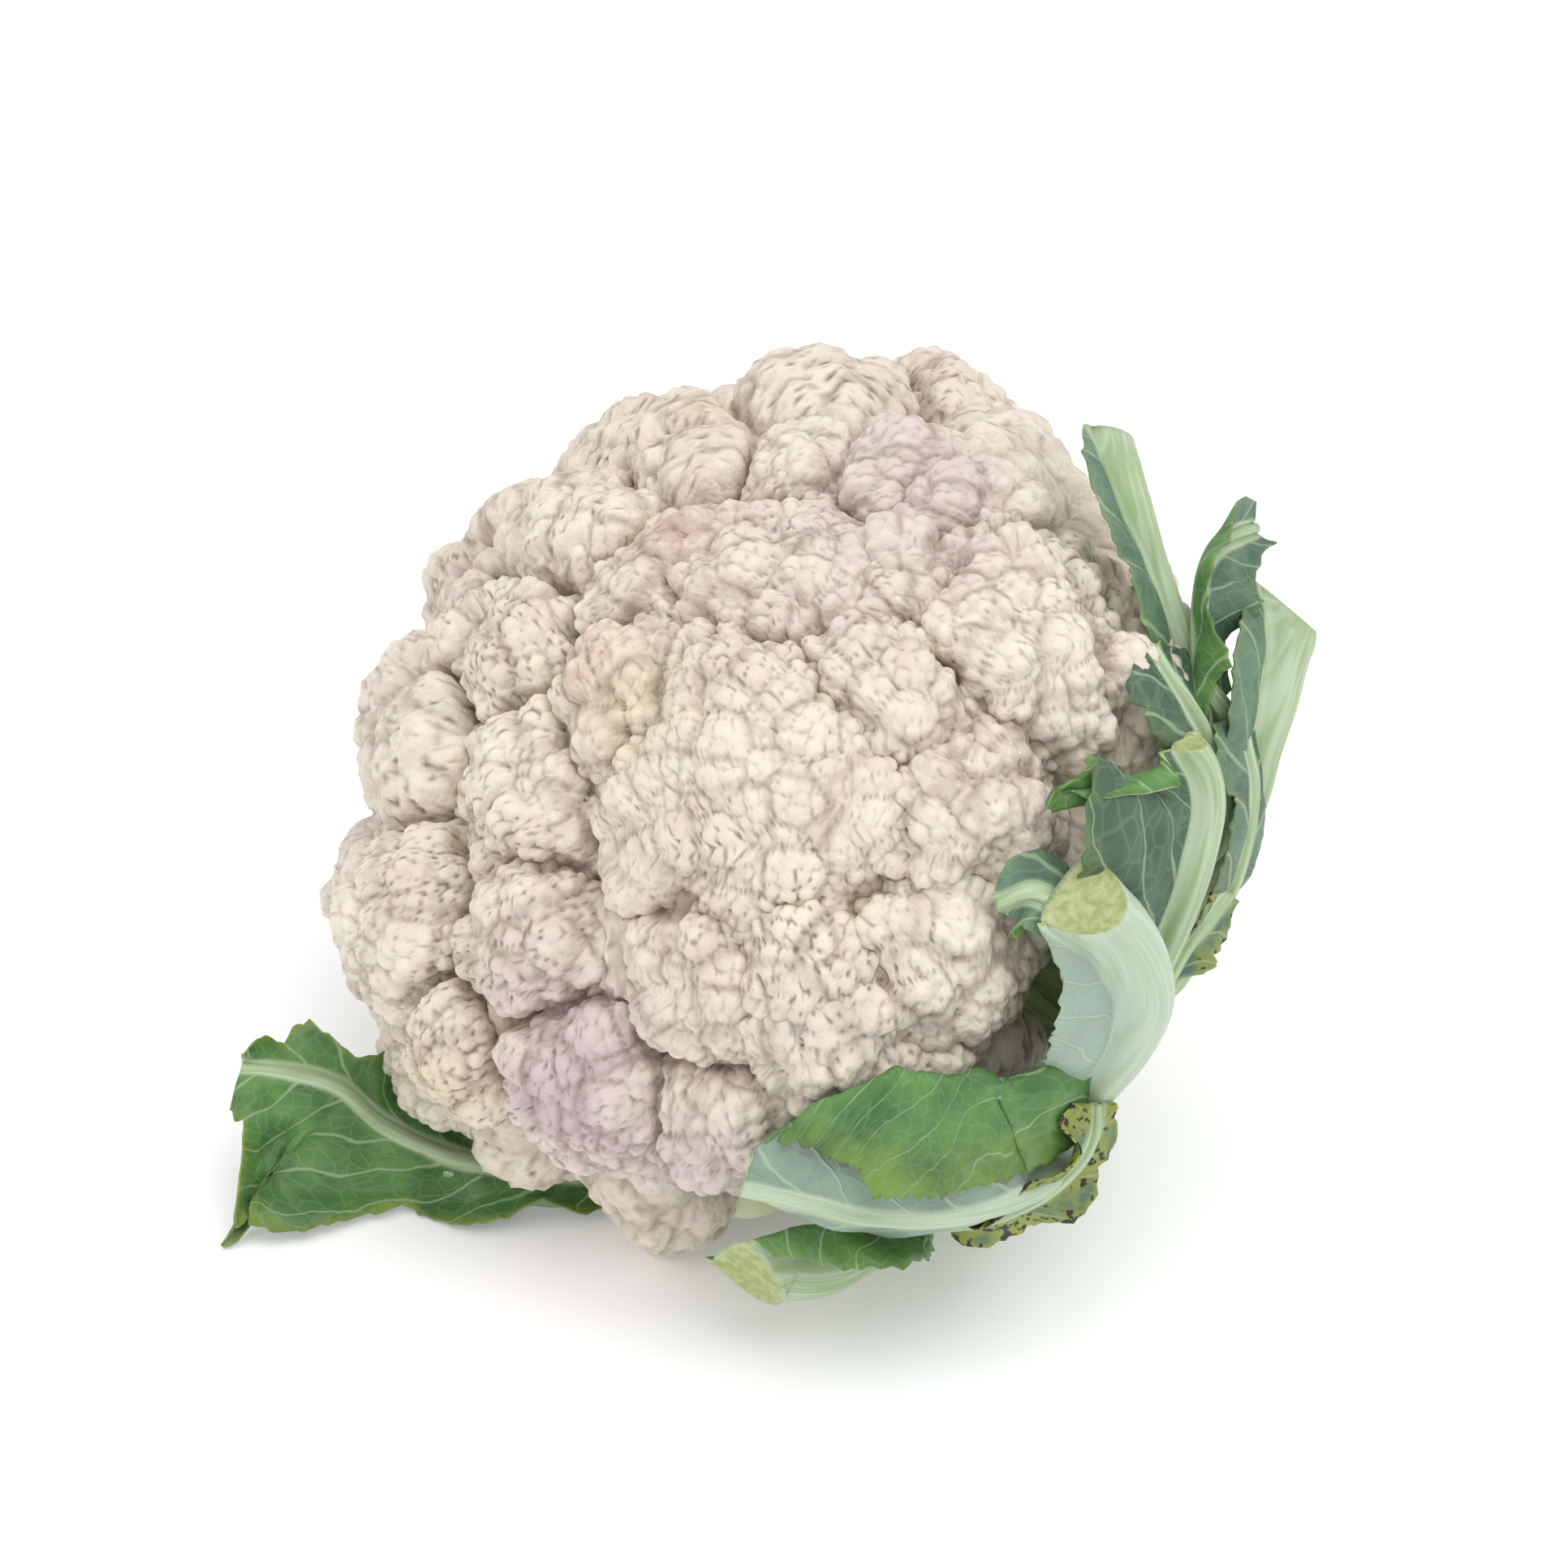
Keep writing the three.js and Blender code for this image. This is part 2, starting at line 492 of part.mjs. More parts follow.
// The middle of a leaf's blade and rib on a grid of rows and columns, with the rib's rise at each point
function leafSheet(leaf, rows, bladeColumns, ribColumns, grown) {
  const line = leaf.path.map(([out, up, azimuth]) => fromHead(out, up, azimuth).toArray());
  const focus = HEAD_CENTRE.clone().addScaledVector(UP, OUTWARD_FROM_UP);
  const columns = [];
  for (let j = bladeColumns; j > 0; j--) columns.push([-1, j / bladeColumns, -1]);
  for (const x of ribColumns) columns.push([Math.sign(x) || 1, 0, x]);
  for (let j = 1; j <= bladeColumns; j++) columns.push([1, j / bladeColumns, 1]);
  const grid = [];
  for (let i = 0; i < rows; i++) {
    const s = i / (rows - 1);
    const p = new THREE.Vector3(...through(line, s));
    const ahead = new THREE.Vector3(...through(line, Math.min(s + HEADING_STEP, 1)));
    const behind = new THREE.Vector3(...through(line, Math.max(s - HEADING_STEP, 0)));
    const tangent = ahead.sub(behind).normalize();
    const outward = p.clone().sub(focus);
    outward.addScaledVector(tangent, -outward.dot(tangent)).normalize();
    const across = tangent.clone().cross(outward);
    const half = along(leaf.ribWidth, s) / 2 + grown;
    const depth = along(leaf.ribDepth, s) + grown;
    const lobe = 1 - leaf.lobes[0] * (1 - Math.abs(Math.sin(Math.PI * leaf.lobes[1] * s)));
    const row = columns.map(([side, share, x]) => {
      const blade = side < 0 ? leaf.left : leaf.right;
      const width = along(blade.width, s) * lobe + grown;
      const [over, rise, heading] = bend(blade, width, share);
      const wave = leaf.wave[0] * share ** WAVE_GROWTH * Math.sin(2 * Math.PI * leaf.wave[1] * s + side);
      const q = p.clone()
        .addScaledVector(across, side * over + x * half - side * Math.sin(heading) * wave)
        .addScaledVector(outward, rise + Math.cos(heading) * wave)
        .addScaledVector(tangent, blade.slant * width * share);
      const riseHere = share > 0 ? 0 : depth * Math.sqrt(Math.max(0, 1 - x * x));
      return { point: bentClear(q, leaf.gap), rise: riseHere };
    });
    grid.push(row);
  }
  return grid;
}

// The closed skin round a leaf's middle sheet: outer face, inner face, margins and both ends
function leafSolid(leaf, grown) {
  const grid = leafSheet(leaf, leaf.grid[0], leaf.grid[1], RIB_COLUMNS, grown);
  const rows = grid.length;
  const cols = grid[0].length;
  const half = BLADE_THICKNESS / 2 + grown;
  const vertices = [];
  const normal = (i, j) => {
    const a = grid[Math.min(i + 1, rows - 1)][j].point.clone().sub(grid[Math.max(i - 1, 0)][j].point);
    const b = grid[i][Math.min(j + 1, cols - 1)].point.clone().sub(grid[i][Math.max(j - 1, 0)].point);
    return b.cross(a).normalize();
  };
  for (const face of [1, -1]) {
    for (let i = 0; i < rows; i++) {
      for (let j = 0; j < cols; j++) {
        const { point, rise } = grid[i][j];
        const away = face > 0 ? half + rise : -half - RIB_INNER_SHARE * rise;
        vertices.push(...point.clone().addScaledVector(normal(i, j), away).toArray());
      }
    }
  }
  const outer = (i, j) => i * cols + j;
  const inner = (i, j) => rows * cols + i * cols + j;
  const faces = [];
  for (let i = 0; i + 1 < rows; i++) {
    for (let j = 0; j + 1 < cols; j++) {
      faces.push(outer(i, j), outer(i, j + 1), outer(i + 1, j));
      faces.push(outer(i, j + 1), outer(i + 1, j + 1), outer(i + 1, j));
      faces.push(inner(i, j), inner(i + 1, j), inner(i, j + 1));
      faces.push(inner(i, j + 1), inner(i + 1, j), inner(i + 1, j + 1));
    }
    const end = cols - 1;
    faces.push(outer(i, 0), outer(i + 1, 0), inner(i, 0), outer(i + 1, 0), inner(i + 1, 0), inner(i, 0));
    faces.push(outer(i, end), inner(i, end), outer(i + 1, end));
    faces.push(outer(i + 1, end), inner(i, end), inner(i + 1, end));
  }
  const tip = rows - 1;
  for (let j = 0; j + 1 < cols; j++) {
    faces.push(outer(0, j), inner(0, j), outer(0, j + 1), outer(0, j + 1), inner(0, j), inner(0, j + 1));
    faces.push(outer(tip, j), outer(tip, j + 1), inner(tip, j));
    faces.push(outer(tip, j + 1), inner(tip, j + 1), inner(tip, j));
  }
  const geometry = new THREE.BufferGeometry();
  geometry.setAttribute("position", new THREE.Float32BufferAttribute(vertices, 3));
  geometry.setIndex(faces);
  return solidOf(geometry);
}

// What a leaf's neighbours keep out of: the leaf grown by a gap, and the leaf shifted four ways,
// which covers the sharp bends where the grown one falls short
function roomFor(leaf, gap) {
  const solid = leafSolid(leaf, 0);
  let room = leafSolid(leaf, gap);
  for (const [x, y, z] of SHIFTS) room = room.add(solid.translate([x * gap, y * gap, z * gap]));
  return room;
}

// A turned stalk with a blunt cut end and a low ring wherever a leaf has left its scar
function stalkSolid(grown) {
  const radius = STALK_RADIUS + grown;
  const bottom = STALK_END_UP - grown;
  const top = STALK_TOP_UP + grown;
  const [edgeIn, edgeUp] = STALK_EDGE;
  const profile = [[0, bottom], [radius - edgeIn, bottom], [radius, bottom + edgeUp]];
  for (let i = 1; i < STALK_RINGS; i++) {
    const up = STALK_END_UP + ((STALK_TOP_UP - STALK_END_UP) * i) / STALK_RINGS;
    profile.push([radius + (i % 2) * STALK_RING_RISE, up]);
  }
  profile.push([radius, top], [0, top]);
  const corners = profile.map(([out, up]) => new THREE.Vector2(out, up));
  const geometry = new THREE.LatheGeometry(corners, STALK_SIDES);
  geometry.deleteAttribute("normal");
  geometry.deleteAttribute("uv");
  const placed = new THREE.Matrix4().makeBasis(AZIMUTH_90, UP, AZIMUTH_0);
  placed.setPosition(HEAD_CENTRE);
  geometry.applyMatrix4(placed);
  return solidOf(geometry);
}

const group = new THREE.Group();

function addPiece(name, solid, finish) {
  const mesh = new THREE.Mesh(geometryOf(solid), finish);
  mesh.name = name;
  group.add(mesh);
}

// The curd, and a slightly larger one that the leaves are kept clear of, both with their grooves
const [head, grownHead] = [0, NEIGHBOUR_GAP].map((grown) => {
  let solid = curdSolid(grown);
  for (const name of UNDER_CURD) solid = solid.subtract(roomFor(LEAVES[name], GROOVE_GAP));
  return solid;
});
addPiece("curd", largestBody(head), CURD_FINISH);
addPiece("stalk", stalkSolid(0).subtract(BELOW_FLOOR), STALK_FINISH);

// Leaves from the inner ones outwards, each cut back where it would meet what is there already
const taken = [grownHead, stalkSolid(NEIGHBOUR_GAP)];
for (const [name, leaf] of Object.entries(LEAVES)) {
  let solid = leafSolid(leaf, 0).subtract(BELOW_FLOOR);
  for (const other of taken) solid = solid.subtract(other);
  addPiece(name, largestBody(solid), LEAF_FINISH);
  taken.push(roomFor(leaf, NEIGHBOUR_GAP));
}

export default group;
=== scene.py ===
# %% [markdown]
# # A cauliflower head
#
# A cauliflower is a tilted dome of cream florets, the curd, on a short stalk, with the stubs of its
# trimmed leaves wrapped up one side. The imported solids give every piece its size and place. This lesson
# replaces each of them with a fine mesh in that same place, and gives it the finish of the real plant.

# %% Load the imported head
import math

import bpy
import numpy as np
from mathutils import Matrix


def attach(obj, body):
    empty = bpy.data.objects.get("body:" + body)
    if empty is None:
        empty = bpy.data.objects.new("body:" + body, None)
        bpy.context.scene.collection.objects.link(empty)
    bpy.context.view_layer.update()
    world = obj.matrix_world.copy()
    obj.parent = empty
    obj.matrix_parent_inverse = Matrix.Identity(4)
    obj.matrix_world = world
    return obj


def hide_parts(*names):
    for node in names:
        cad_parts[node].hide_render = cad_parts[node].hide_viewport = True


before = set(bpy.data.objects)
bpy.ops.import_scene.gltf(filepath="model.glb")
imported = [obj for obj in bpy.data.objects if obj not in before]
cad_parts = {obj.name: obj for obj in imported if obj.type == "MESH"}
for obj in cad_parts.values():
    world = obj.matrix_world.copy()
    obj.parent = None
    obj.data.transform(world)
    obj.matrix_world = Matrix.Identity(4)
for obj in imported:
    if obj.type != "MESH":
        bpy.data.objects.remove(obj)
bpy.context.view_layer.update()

MM = 0.001
print("packed nodes:", len(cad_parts))

# %% [markdown]
# ## Where the head sits
#
# Everything that grew on the head is placed in the head's own directions: its axis, which leans left and
# forwards, and azimuth 0, which is the side that faces the camera. All lengths are in millimetres until
# a mesh is made.

# %% The head's frame
HEAD_CENTRE = np.array([6.6, 3.5, 67.1])
HEAD_AXIS = np.array([-0.6, -0.364, 0.716])
NEAR_SIDE = np.array([0.0, -0.866, 0.5])
HEAD_RADIUS = 92.0
HEAD_ABOVE = 65.0
HEAD_BELOW = 40.0
GOLDEN_ANGLE = math.radians(137.508)


def unit(v):
    """The same direction with a length of one, along the last axis."""
    return v / np.linalg.norm(v, axis=-1, keepdims=True)


UP = unit(HEAD_AXIS)
AZIMUTH_0 = unit(NEAR_SIDE - NEAR_SIDE @ UP * UP)
AZIMUTH_90 = np.cross(UP, AZIMUTH_0)
HEAD_BASIS = np.array([AZIMUTH_0, AZIMUTH_90, UP])


def to_world(points):
    """World place of points given along azimuth 0, azimuth 90 and the axis, from the head's centre."""
    return HEAD_CENTRE + points @ HEAD_BASIS


def to_head(points):
    """The reverse of to_world: the place's offset from the centre, measured along the three directions."""
    return (points - HEAD_CENTRE) @ HEAD_BASIS.T


def directions_at(tip, around):
    """Unit directions that lean from the third axis by tip and are turned around it, both in radians."""
    return np.stack([np.sin(tip) * np.cos(around), np.sin(tip) * np.sin(around), np.cos(tip)], axis=-1)


def head_direction(polar, azimuth):
    """Unit direction at a polar angle from the axis and an azimuth, both in degrees."""
    return directions_at(np.radians(polar), np.radians(azimuth))


def head_reach(d):
    """Distance to the ellipsoid that the florets reach: 1 / sqrt(across^2 / radius^2 + up^2 / height^2)."""
    tall = np.where(d[..., 2] > 0, HEAD_ABOVE, HEAD_BELOW)
    across = d[..., 0] ** 2 + d[..., 1] ** 2
    return 1 / np.sqrt(across / HEAD_RADIUS ** 2 + d[..., 2] ** 2 / tall ** 2)


def chance(n):
    """A fixed number from 0 to 1 for each whole number: the fraction of a large sine."""
    v = np.sin(np.asarray(n, float) * 12.9898 + 4.1414) * 43758.5453
    return v - np.floor(v)


# %% [markdown]
# ## Camera, floor and light
#
# The photograph looks down at the head by about 30 degrees with a long lens, so its perspective is weak.
# A camera 0.9 m away with a narrow angle gives the same. The setting is a white sweep in soft light from
# all round. A large soft key light above and a weaker fill on the left shape the florets, and the sweep
# glows a little itself, so the shadows stay faint.

# %% Camera
IMAGE_SIDE = 1932
PIXELS_PER_MM = 6.6
CAMERA_DISTANCE = 900.0
CAMERA_ELEVATION = math.radians(30)
VIEW_MIDDLE_ABOVE = 3.4
SENSOR = 36.0

view_right = np.array([1.0, 0.0, 0.0])
view_up = np.array([0.0, math.sin(CAMERA_ELEVATION), math.cos(CAMERA_ELEVATION)])
view_back = np.array([0.0, -math.cos(CAMERA_ELEVATION), math.sin(CAMERA_ELEVATION)])
eye = HEAD_CENTRE + VIEW_MIDDLE_ABOVE * view_up + CAMERA_DISTANCE * view_back
camera = bpy.data.objects.new("camera", bpy.data.cameras.new("camera"))
bpy.context.collection.objects.link(camera)
camera.data.sensor_width = SENSOR
camera.data.lens = SENSOR * PIXELS_PER_MM * CAMERA_DISTANCE / IMAGE_SIDE
turn = np.eye(4)
turn[:3, 0], turn[:3, 1], turn[:3, 2], turn[:3, 3] = view_right, view_up, view_back, eye * MM
camera.matrix_world = Matrix(turn.tolist())
bpy.context.scene.camera = camera
print("lens", round(camera.data.lens, 1), "mm")

# %% [markdown]
# ## Small helpers
#
# Colours are written as they look on a screen, in hex, and turned into the linear values that the
# renderer works in. One function adds a node to a material, sets its sockets and links its inputs.

# %% Colour and node helpers


def linear(code):
    """Linear red, green, blue and alpha of an sRGB hex colour: the power curve that screens use, undone."""
    values = np.array([int(code[i:i + 2], 16) for i in (1, 3, 5)]) / 255
    low = values / 12.92
    high = ((values + 0.055) / 1.055) ** 2.4
    return (*np.where(values <= 0.04045, low, high).tolist(), 1.0)


def add_node(material, kind, settings=None, **inputs):
    """Adds a node. settings are its own properties. inputs are values for its sockets, or sockets to link,
    and i7 is the socket with the number 7."""
    node = material.node_tree.nodes.new(kind)
    for key, value in (settings or {}).items():
        setattr(node, key, value)
    for key, value in inputs.items():
        numbered = key[0] == "i" and key[1:].isdigit()
        socket = node.inputs[int(key[1:]) if numbered else key]
        if isinstance(value, bpy.types.NodeSocket):
            material.node_tree.links.new(value, socket)
        else:
            socket.default_value = value
    return node


def new_material(name):
    """An empty node material and the Principled shader that feeds its output."""
    material = bpy.data.materials.new(name)
    material.use_nodes = True
    tree = material.node_tree
    tree.nodes.clear()
    output = tree.nodes.new("ShaderNodeOutputMaterial")
    shader = tree.nodes.new("ShaderNodeBsdfPrincipled")
    tree.links.new(shader.outputs["BSDF"], output.inputs["Surface"])
    return material, shader


# %% Mesh helper


def make_piece(name, points, faces, material, node, attributes=None, uv=None):
    """A closed smooth mesh from points in mm and faces of 3 or 4 corners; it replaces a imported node."""
    mesh = bpy.data.meshes.new(name)
    corners = np.concatenate([np.ravel(f) for f in faces])
    sizes = np.concatenate([np.full(len(f), f.shape[1]) for f in faces])
    mesh.vertices.add(len(points))
    mesh.vertices.foreach_set("co", (points * MM).astype(np.float32).ravel())
    mesh.loops.add(len(corners))
    mesh.loops.foreach_set("vertex_index", corners.astype(np.int32))
    mesh.polygons.add(len(sizes))
    mesh.polygons.foreach_set("loop_start", (np.cumsum(sizes) - sizes).astype(np.int32))
    mesh.polygons.foreach_set("use_smooth", np.ones(len(sizes), bool))
    mesh.update(calc_edges=True)
    for key, values in (attributes or {}).items():
        layer = mesh.attributes.new(key, "FLOAT", "POINT")
        layer.data.foreach_set("value", values.astype(np.float32).ravel())
    if uv is not None:
        layer = mesh.uv_layers.new(name="blade")
        layer.data.foreach_set("uv", uv[corners].astype(np.float32).ravel())
    mesh.validate()
    mesh.materials.append(material)
    piece = bpy.data.objects.new(name, mesh)
    bpy.context.collection.objects.link(piece)
    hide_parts(node)
    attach(piece, "root")


def quads_between(numbers):
    """The four-sided faces between the points of a grid, from the grid of the points' numbers."""
    corners = [numbers[:-1, :-1], numbers[:-1, 1:], numbers[1:, 1:], numbers[1:, :-1]]
    return np.stack(corners, axis=-1).reshape(-1, 4)


def closed_round(rows, columns):
    """Point numbers of a grid that goes all the way round: its first column is there again at the end."""
    numbers = np.arange(rows * columns).reshape(rows, columns)
    return np.concatenate([numbers, numbers[:, :1]], axis=1)


# %% Floor and lights
FLOOR_SIDE = 8.0
SWEEP_GLOW = 0.15
WORLD_STRENGTH = 0.8
LIT_POINT = (0, 0, 0.07)
stage_material, stage_shader = new_material("matt white sweep")
stage_shader.inputs["Base Color"].default_value = linear("#f7f7f7")
stage_shader.inputs["Roughness"].default_value = 0.9
stage_shader.inputs["Emission Color"].default_value = linear("#ffffff")
stage_shader.inputs["Emission Strength"].default_value = SWEEP_GLOW
half_floor = FLOOR_SIDE / 2
floor_mesh = bpy.data.meshes.new("floor")
floor_corners = [(x * half_floor, y * half_floor, 0) for x, y in ((-1, -1), (1, -1), (1, 1), (-1, 1))]
floor_mesh.from_pydata(floor_corners, [], [(0, 1, 2, 3)])
floor_mesh.materials.append(stage_material)
floor = bpy.data.objects.new("floor", floor_mesh)
bpy.context.collection.objects.link(floor)

world = bpy.data.worlds.new("soft studio")
world.use_nodes = True
world.node_tree.nodes["Background"].inputs["Color"].default_value = linear("#fdfdff")
world.node_tree.nodes["Background"].inputs["Strength"].default_value = WORLD_STRENGTH
bpy.context.scene.world = world
bpy.context.scene.view_settings.view_transform = "Standard"


def add_light(name, place, aim, side, power):
    """A square soft light of that side in metres, aimed from its place at a point."""
    lamp = bpy.data.lights.new(name, "AREA")
    lamp.size = side
    lamp.energy = power
    light = bpy.data.objects.new(name, lamp)
    back = unit(np.array(place, float) - np.array(aim, float))
    across = unit(np.cross([0.0, 0.0, 1.0], back))
    pose = np.eye(4)
    pose[:3, 0], pose[:3, 1], pose[:3, 2], pose[:3, 3] = across, np.cross(back, across), back, place
    light.matrix_world = Matrix(pose.tolist())
    bpy.context.collection.objects.link(light)


add_light("key", place=(0.4, -0.5, 1.5), aim=LIT_POINT, side=1.3, power=12.5)
add_light("fill", place=(-1.3, -0.6, 0.8), aim=LIT_POINT, side=1.0, power=3)

# %% [markdown]
# ## Finishes
#
# Every pattern is set in millimetres of the real plant: object coordinates are in metres, so a pattern
# with a grain of g mm has a scale of 1000 / g.

# %% Shader helpers


def mix(material, factor, a, b, blend="MIX"):
    """Colour b laid over colour a by a factor; each may be a socket, a hex colour or linear values."""
    a, b = (linear(c) if isinstance(c, str) else c for c in (a, b))
    settings = {"data_type": "RGBA", "blend_type": blend}
    return add_node(material, "ShaderNodeMix", settings, i0=factor, i6=a, i7=b).outputs[2]


def maths(material, operation, a, b=0.0, c=0.0):
    """One step of arithmetic on sockets or numbers."""
    node = add_node(material, "ShaderNodeMath", {"operation": operation}, i0=a, i1=b, i2=c)
    return node.outputs["Value"]


def ramp(material, value, low, high, to_low=0.0, to_high=1.0):
    """Values between low and high spread smoothly between two others."""
    settings = {"interpolation_type": "SMOOTHSTEP"}
    node = add_node(
        material, "ShaderNodeMapRange", settings, i0=value, i1=low, i2=high, i3=to_low, i4=to_high,
    )
    return node.outputs["Result"]


def attribute(material, name):
    """A number stored on the mesh's points."""
    return add_node(material, "ShaderNodeAttribute", {"attribute_name": name}).outputs["Fac"]


def noise(material, grain_mm, detail=2.0, vector=None):
    """Soft noise from about 0.2 to 0.8 whose blotches are grain_mm wide."""
    inputs = {"Vector": vector} if vector is not None else {}
    node = add_node(material, "ShaderNodeTexNoise", None, Scale=1000 / grain_mm, Detail=detail, **inputs)
    return node.outputs["Fac"]


# %% [markdown]
# ### Curd
#
# Fresh curd is matt and cream and lets a little light through; the shade in its creases is painted on as a warm
# darker colour.
# Sun leaves faint violet, brown and yellow blushes, and its skin is made of buds about 1 mm wide.

# %% Curd finish
GRANULE = 1.15
CLOUD_GRAIN = 22
SPECKLE_GRAIN = 2.6
BEAD_SHADE_GRAIN = 30
WARM_CREAM = "#e3d9c8"
ROSY_CREAM = "#d9cbc0"
LIGHT_CREAM = "#eae2d0"
MOTTLE_TINT = "#cdb8a8"
VIOLET_BLUSH = "#bfabb8"
BROWN_BLUSH = "#b78f75"
YELLOW_BLUSH = "#d6ca9c"
# The warm dark brown of the painted shade in creases and seams
CREASE_SHADE = "#7a6552"

curd_material, curd_shader = new_material("fresh cauliflower curd")
place = add_node(curd_material, "ShaderNodeTexCoord").outputs["Object"]
cloud = noise(curd_material, CLOUD_GRAIN, 3.0, place)
speckle = noise(curd_material, SPECKLE_GRAIN, 2.0, place)
granules = add_node(
    curd_material, "ShaderNodeTexVoronoi", {"feature": "F1"}, Vector=place, Scale=1000 / GRANULE,
).outputs["Distance"]
cream = mix(curd_material, ramp(curd_material, cloud, 0.35, 0.65), WARM_CREAM, ROSY_CREAM)
tone = attribute(curd_material, "tone")
cream = mix(curd_material, ramp(curd_material, tone, 0.2, 0.8, 0.0, 0.5), cream, LIGHT_CREAM)
mottle = ramp(curd_material, speckle, 0.5, 0.75, 0.0, 0.3)
cream = mix(curd_material, mottle, cream, MOTTLE_TINT)
clouded = ramp(curd_material, cloud, 0.3, 0.6, 0.4, 0.85)
violet = maths(curd_material, "MULTIPLY", attribute(curd_material, "violet"), clouded)
cream = mix(curd_material, violet, cream, VIOLET_BLUSH)
speckled = ramp(curd_material, speckle, 0.35, 0.65, 0.1, 0.7)
brown = maths(curd_material, "MULTIPLY", attribute(curd_material, "brown"), speckled)
cream = mix(curd_material, brown, cream, BROWN_BLUSH)
cream = mix(curd_material, attribute(curd_material, "yellow"), cream, YELLOW_BLUSH)
# Painted shade: the creases between lobes, buds and beads and the seams between florets are mixed towards
# CREASE_SHADE, and the bead creases are painted darker in noisy patches.
bead_shade_depth = ramp(curd_material, noise(curd_material, BEAD_SHADE_GRAIN, 2.0, place), 0.45, 0.62, 0.35, 0.85)
for name, depth in (("lobe_crease", 0.3), ("bud_crease", 0.5), ("bead_crease", bead_shade_depth), ("seam", 0.55)):
    crease = ramp(curd_material, attribute(curd_material, name), 0.15, 1.0)
    cream = mix(curd_material, maths(curd_material, "MULTIPLY", crease, depth), cream, CREASE_SHADE)
curd_bump = add_node(
    curd_material, "ShaderNodeBump", {"invert": True}, Height=granules, Strength=0.55, Distance=0.0004,
)
links = curd_material.node_tree.links
links.new(cream, curd_shader.inputs["Base Color"])
links.new(curd_bump.outputs["Normal"], curd_shader.inputs["Normal"])
curd_shader.inputs["Roughness"].default_value = 0.62
curd_shader.inputs["Subsurface Weight"].default_value = 0.25
curd_shader.inputs["Subsurface Radius"].default_value = (1.0, 0.7, 0.45)
curd_shader.inputs["Subsurface Scale"].default_value = 0.0022

# %% [markdown]
# ### Stem flesh
#
# Branches and stalk are smooth, pale and faintly green. The cut end has dried to straw, with darker
# specks where the bundles of fibres end.

# %% Stem finish
stem_material, stem_shader = new_material("pale stem flesh")
place = add_node(stem_material, "ShaderNodeTexCoord").outputs["Object"]
stem_cloud = noise(stem_material, 9, 3.0, place)
fibres = noise(stem_material, 1.1, 1.0, place)
flesh = mix(stem_material, ramp(stem_material, stem_cloud, 0.3, 0.7), "#dfe3c4", "#cdd6ac")
dry = mix(stem_material, ramp(stem_material, fibres, 0.4, 0.7), "#cfc59a", "#a08f60")
flesh = mix(stem_material, attribute(stem_material, "cut"), flesh, dry)
stem_material.node_tree.links.new(flesh, stem_shader.inputs["Base Color"])
stem_shader.inputs["Roughness"].default_value = 0.5
stem_shader.inputs["Subsurface Weight"].default_value = 0.2
stem_shader.inputs["Subsurface Radius"].default_value = (1.0, 0.9, 0.5)
stem_shader.inputs["Subsurface Scale"].default_value = 0.002

# %% [markdown]
# ## The curd: florets, lobes, buds and beads
#
# A curd repeats one shape at four sizes. Each floret of 25 to 80 mm is heaped up from lobes, each lobe
# from buds of about 9 mm, and each bud from beads of about 4 mm. Balls would be costly to join, so every
# floret is one skin instead: a ray runs out from its middle in each direction, and the skin is where the
# ray leaves the last ball. The florets have their own places, chosen to match the head; the small ones
# between them follow a golden-angle spiral.

# %% Floret places
FLORETS = [
    # polar angle, azimuth, radius, lift
    (53, -1, 35, 3), (58, 26, 17, 2), (45, 22, 12, 0), (43, 51, 24, -1), (18, -4, 17, 3),
    (28, -74, 20, 1), (20, -159, 14, 1), (18, 90, 15, 0), (73, 39, 21, 4), (84, 40, 17, 4),
    (64, 76, 17, -5), (54, 89, 14, -5), (57, 128, 12, -3), (57, 170, 9, 1), (43, -134, 14, 2),
    (56, -101, 17, 7), (49, -67, 14, 1), (69, -60, 18, 0), (61, -30, 18, 0), (77, -40, 14, -1),
    (77, -4, 17, -2), (67, 51, 14, -1), (71, 26, 12, -1), (66, 62, 12, -1), (31, 145, 14, 1),
    (64, -81, 12, 5), (84, -106, 17, -2), (76, -128, 18, 3), (98, -122, 15, 2), (62, -152, 18, 1),
    (82, -160, 18, 0), (68, 178, 17, 1), (88, 172, 17, 0), (72, 150, 18, -2), (90, 142, 16, -1),
    (72, 112, 18, -3), (88, 108, 16, -1), (44, 118, 13, -3), (40, -168, 14, 0), (44, 160, 13, 0),
]
FILLER_COUNT = 54
FILLER_RADIUS = 14.0
FILLER_DEPTH = 6.0
FILLER_LOWEST = math.radians(108)
FIRST_FILLER = 200

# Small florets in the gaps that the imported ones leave
GAP_FLORETS = [(70, 12, 16, 1), (66, -16, 15, 1), (74, -22, 15, 0), (82, -22, 14, 0), (58, 45, 14, 0)]
FIRST_GAP_FLORET = 100

# Lobes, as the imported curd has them
LOBE_RADIUS = 9.0
LOBE_LARGEST_SHARE = 0.62
LOBES_PER_MM2 = 0.036
FEWEST_LOBES = 5
LOBE_CAP = math.radians(80)
LOBE_SINK = 0.5
MIDDLE_SINK = 0.42
LOBE_TIP_SPREAD = 0.16
LOBE_TURN_SPREAD = 0.3
LOBE_SMALLEST = 0.82
LOBE_SIZE_SPREAD = 0.36
SEEDS_PER_FLORET = 97
TURN_SEED = 31
SIZE_SEED = 57


def floret_axes(d):
    """Two directions square to d, and d itself, as the rows of a turn."""
    side = unit(np.cross([0.0, 0.0, 1.0], d))
    return np.array([side, np.cross(d, side), d])


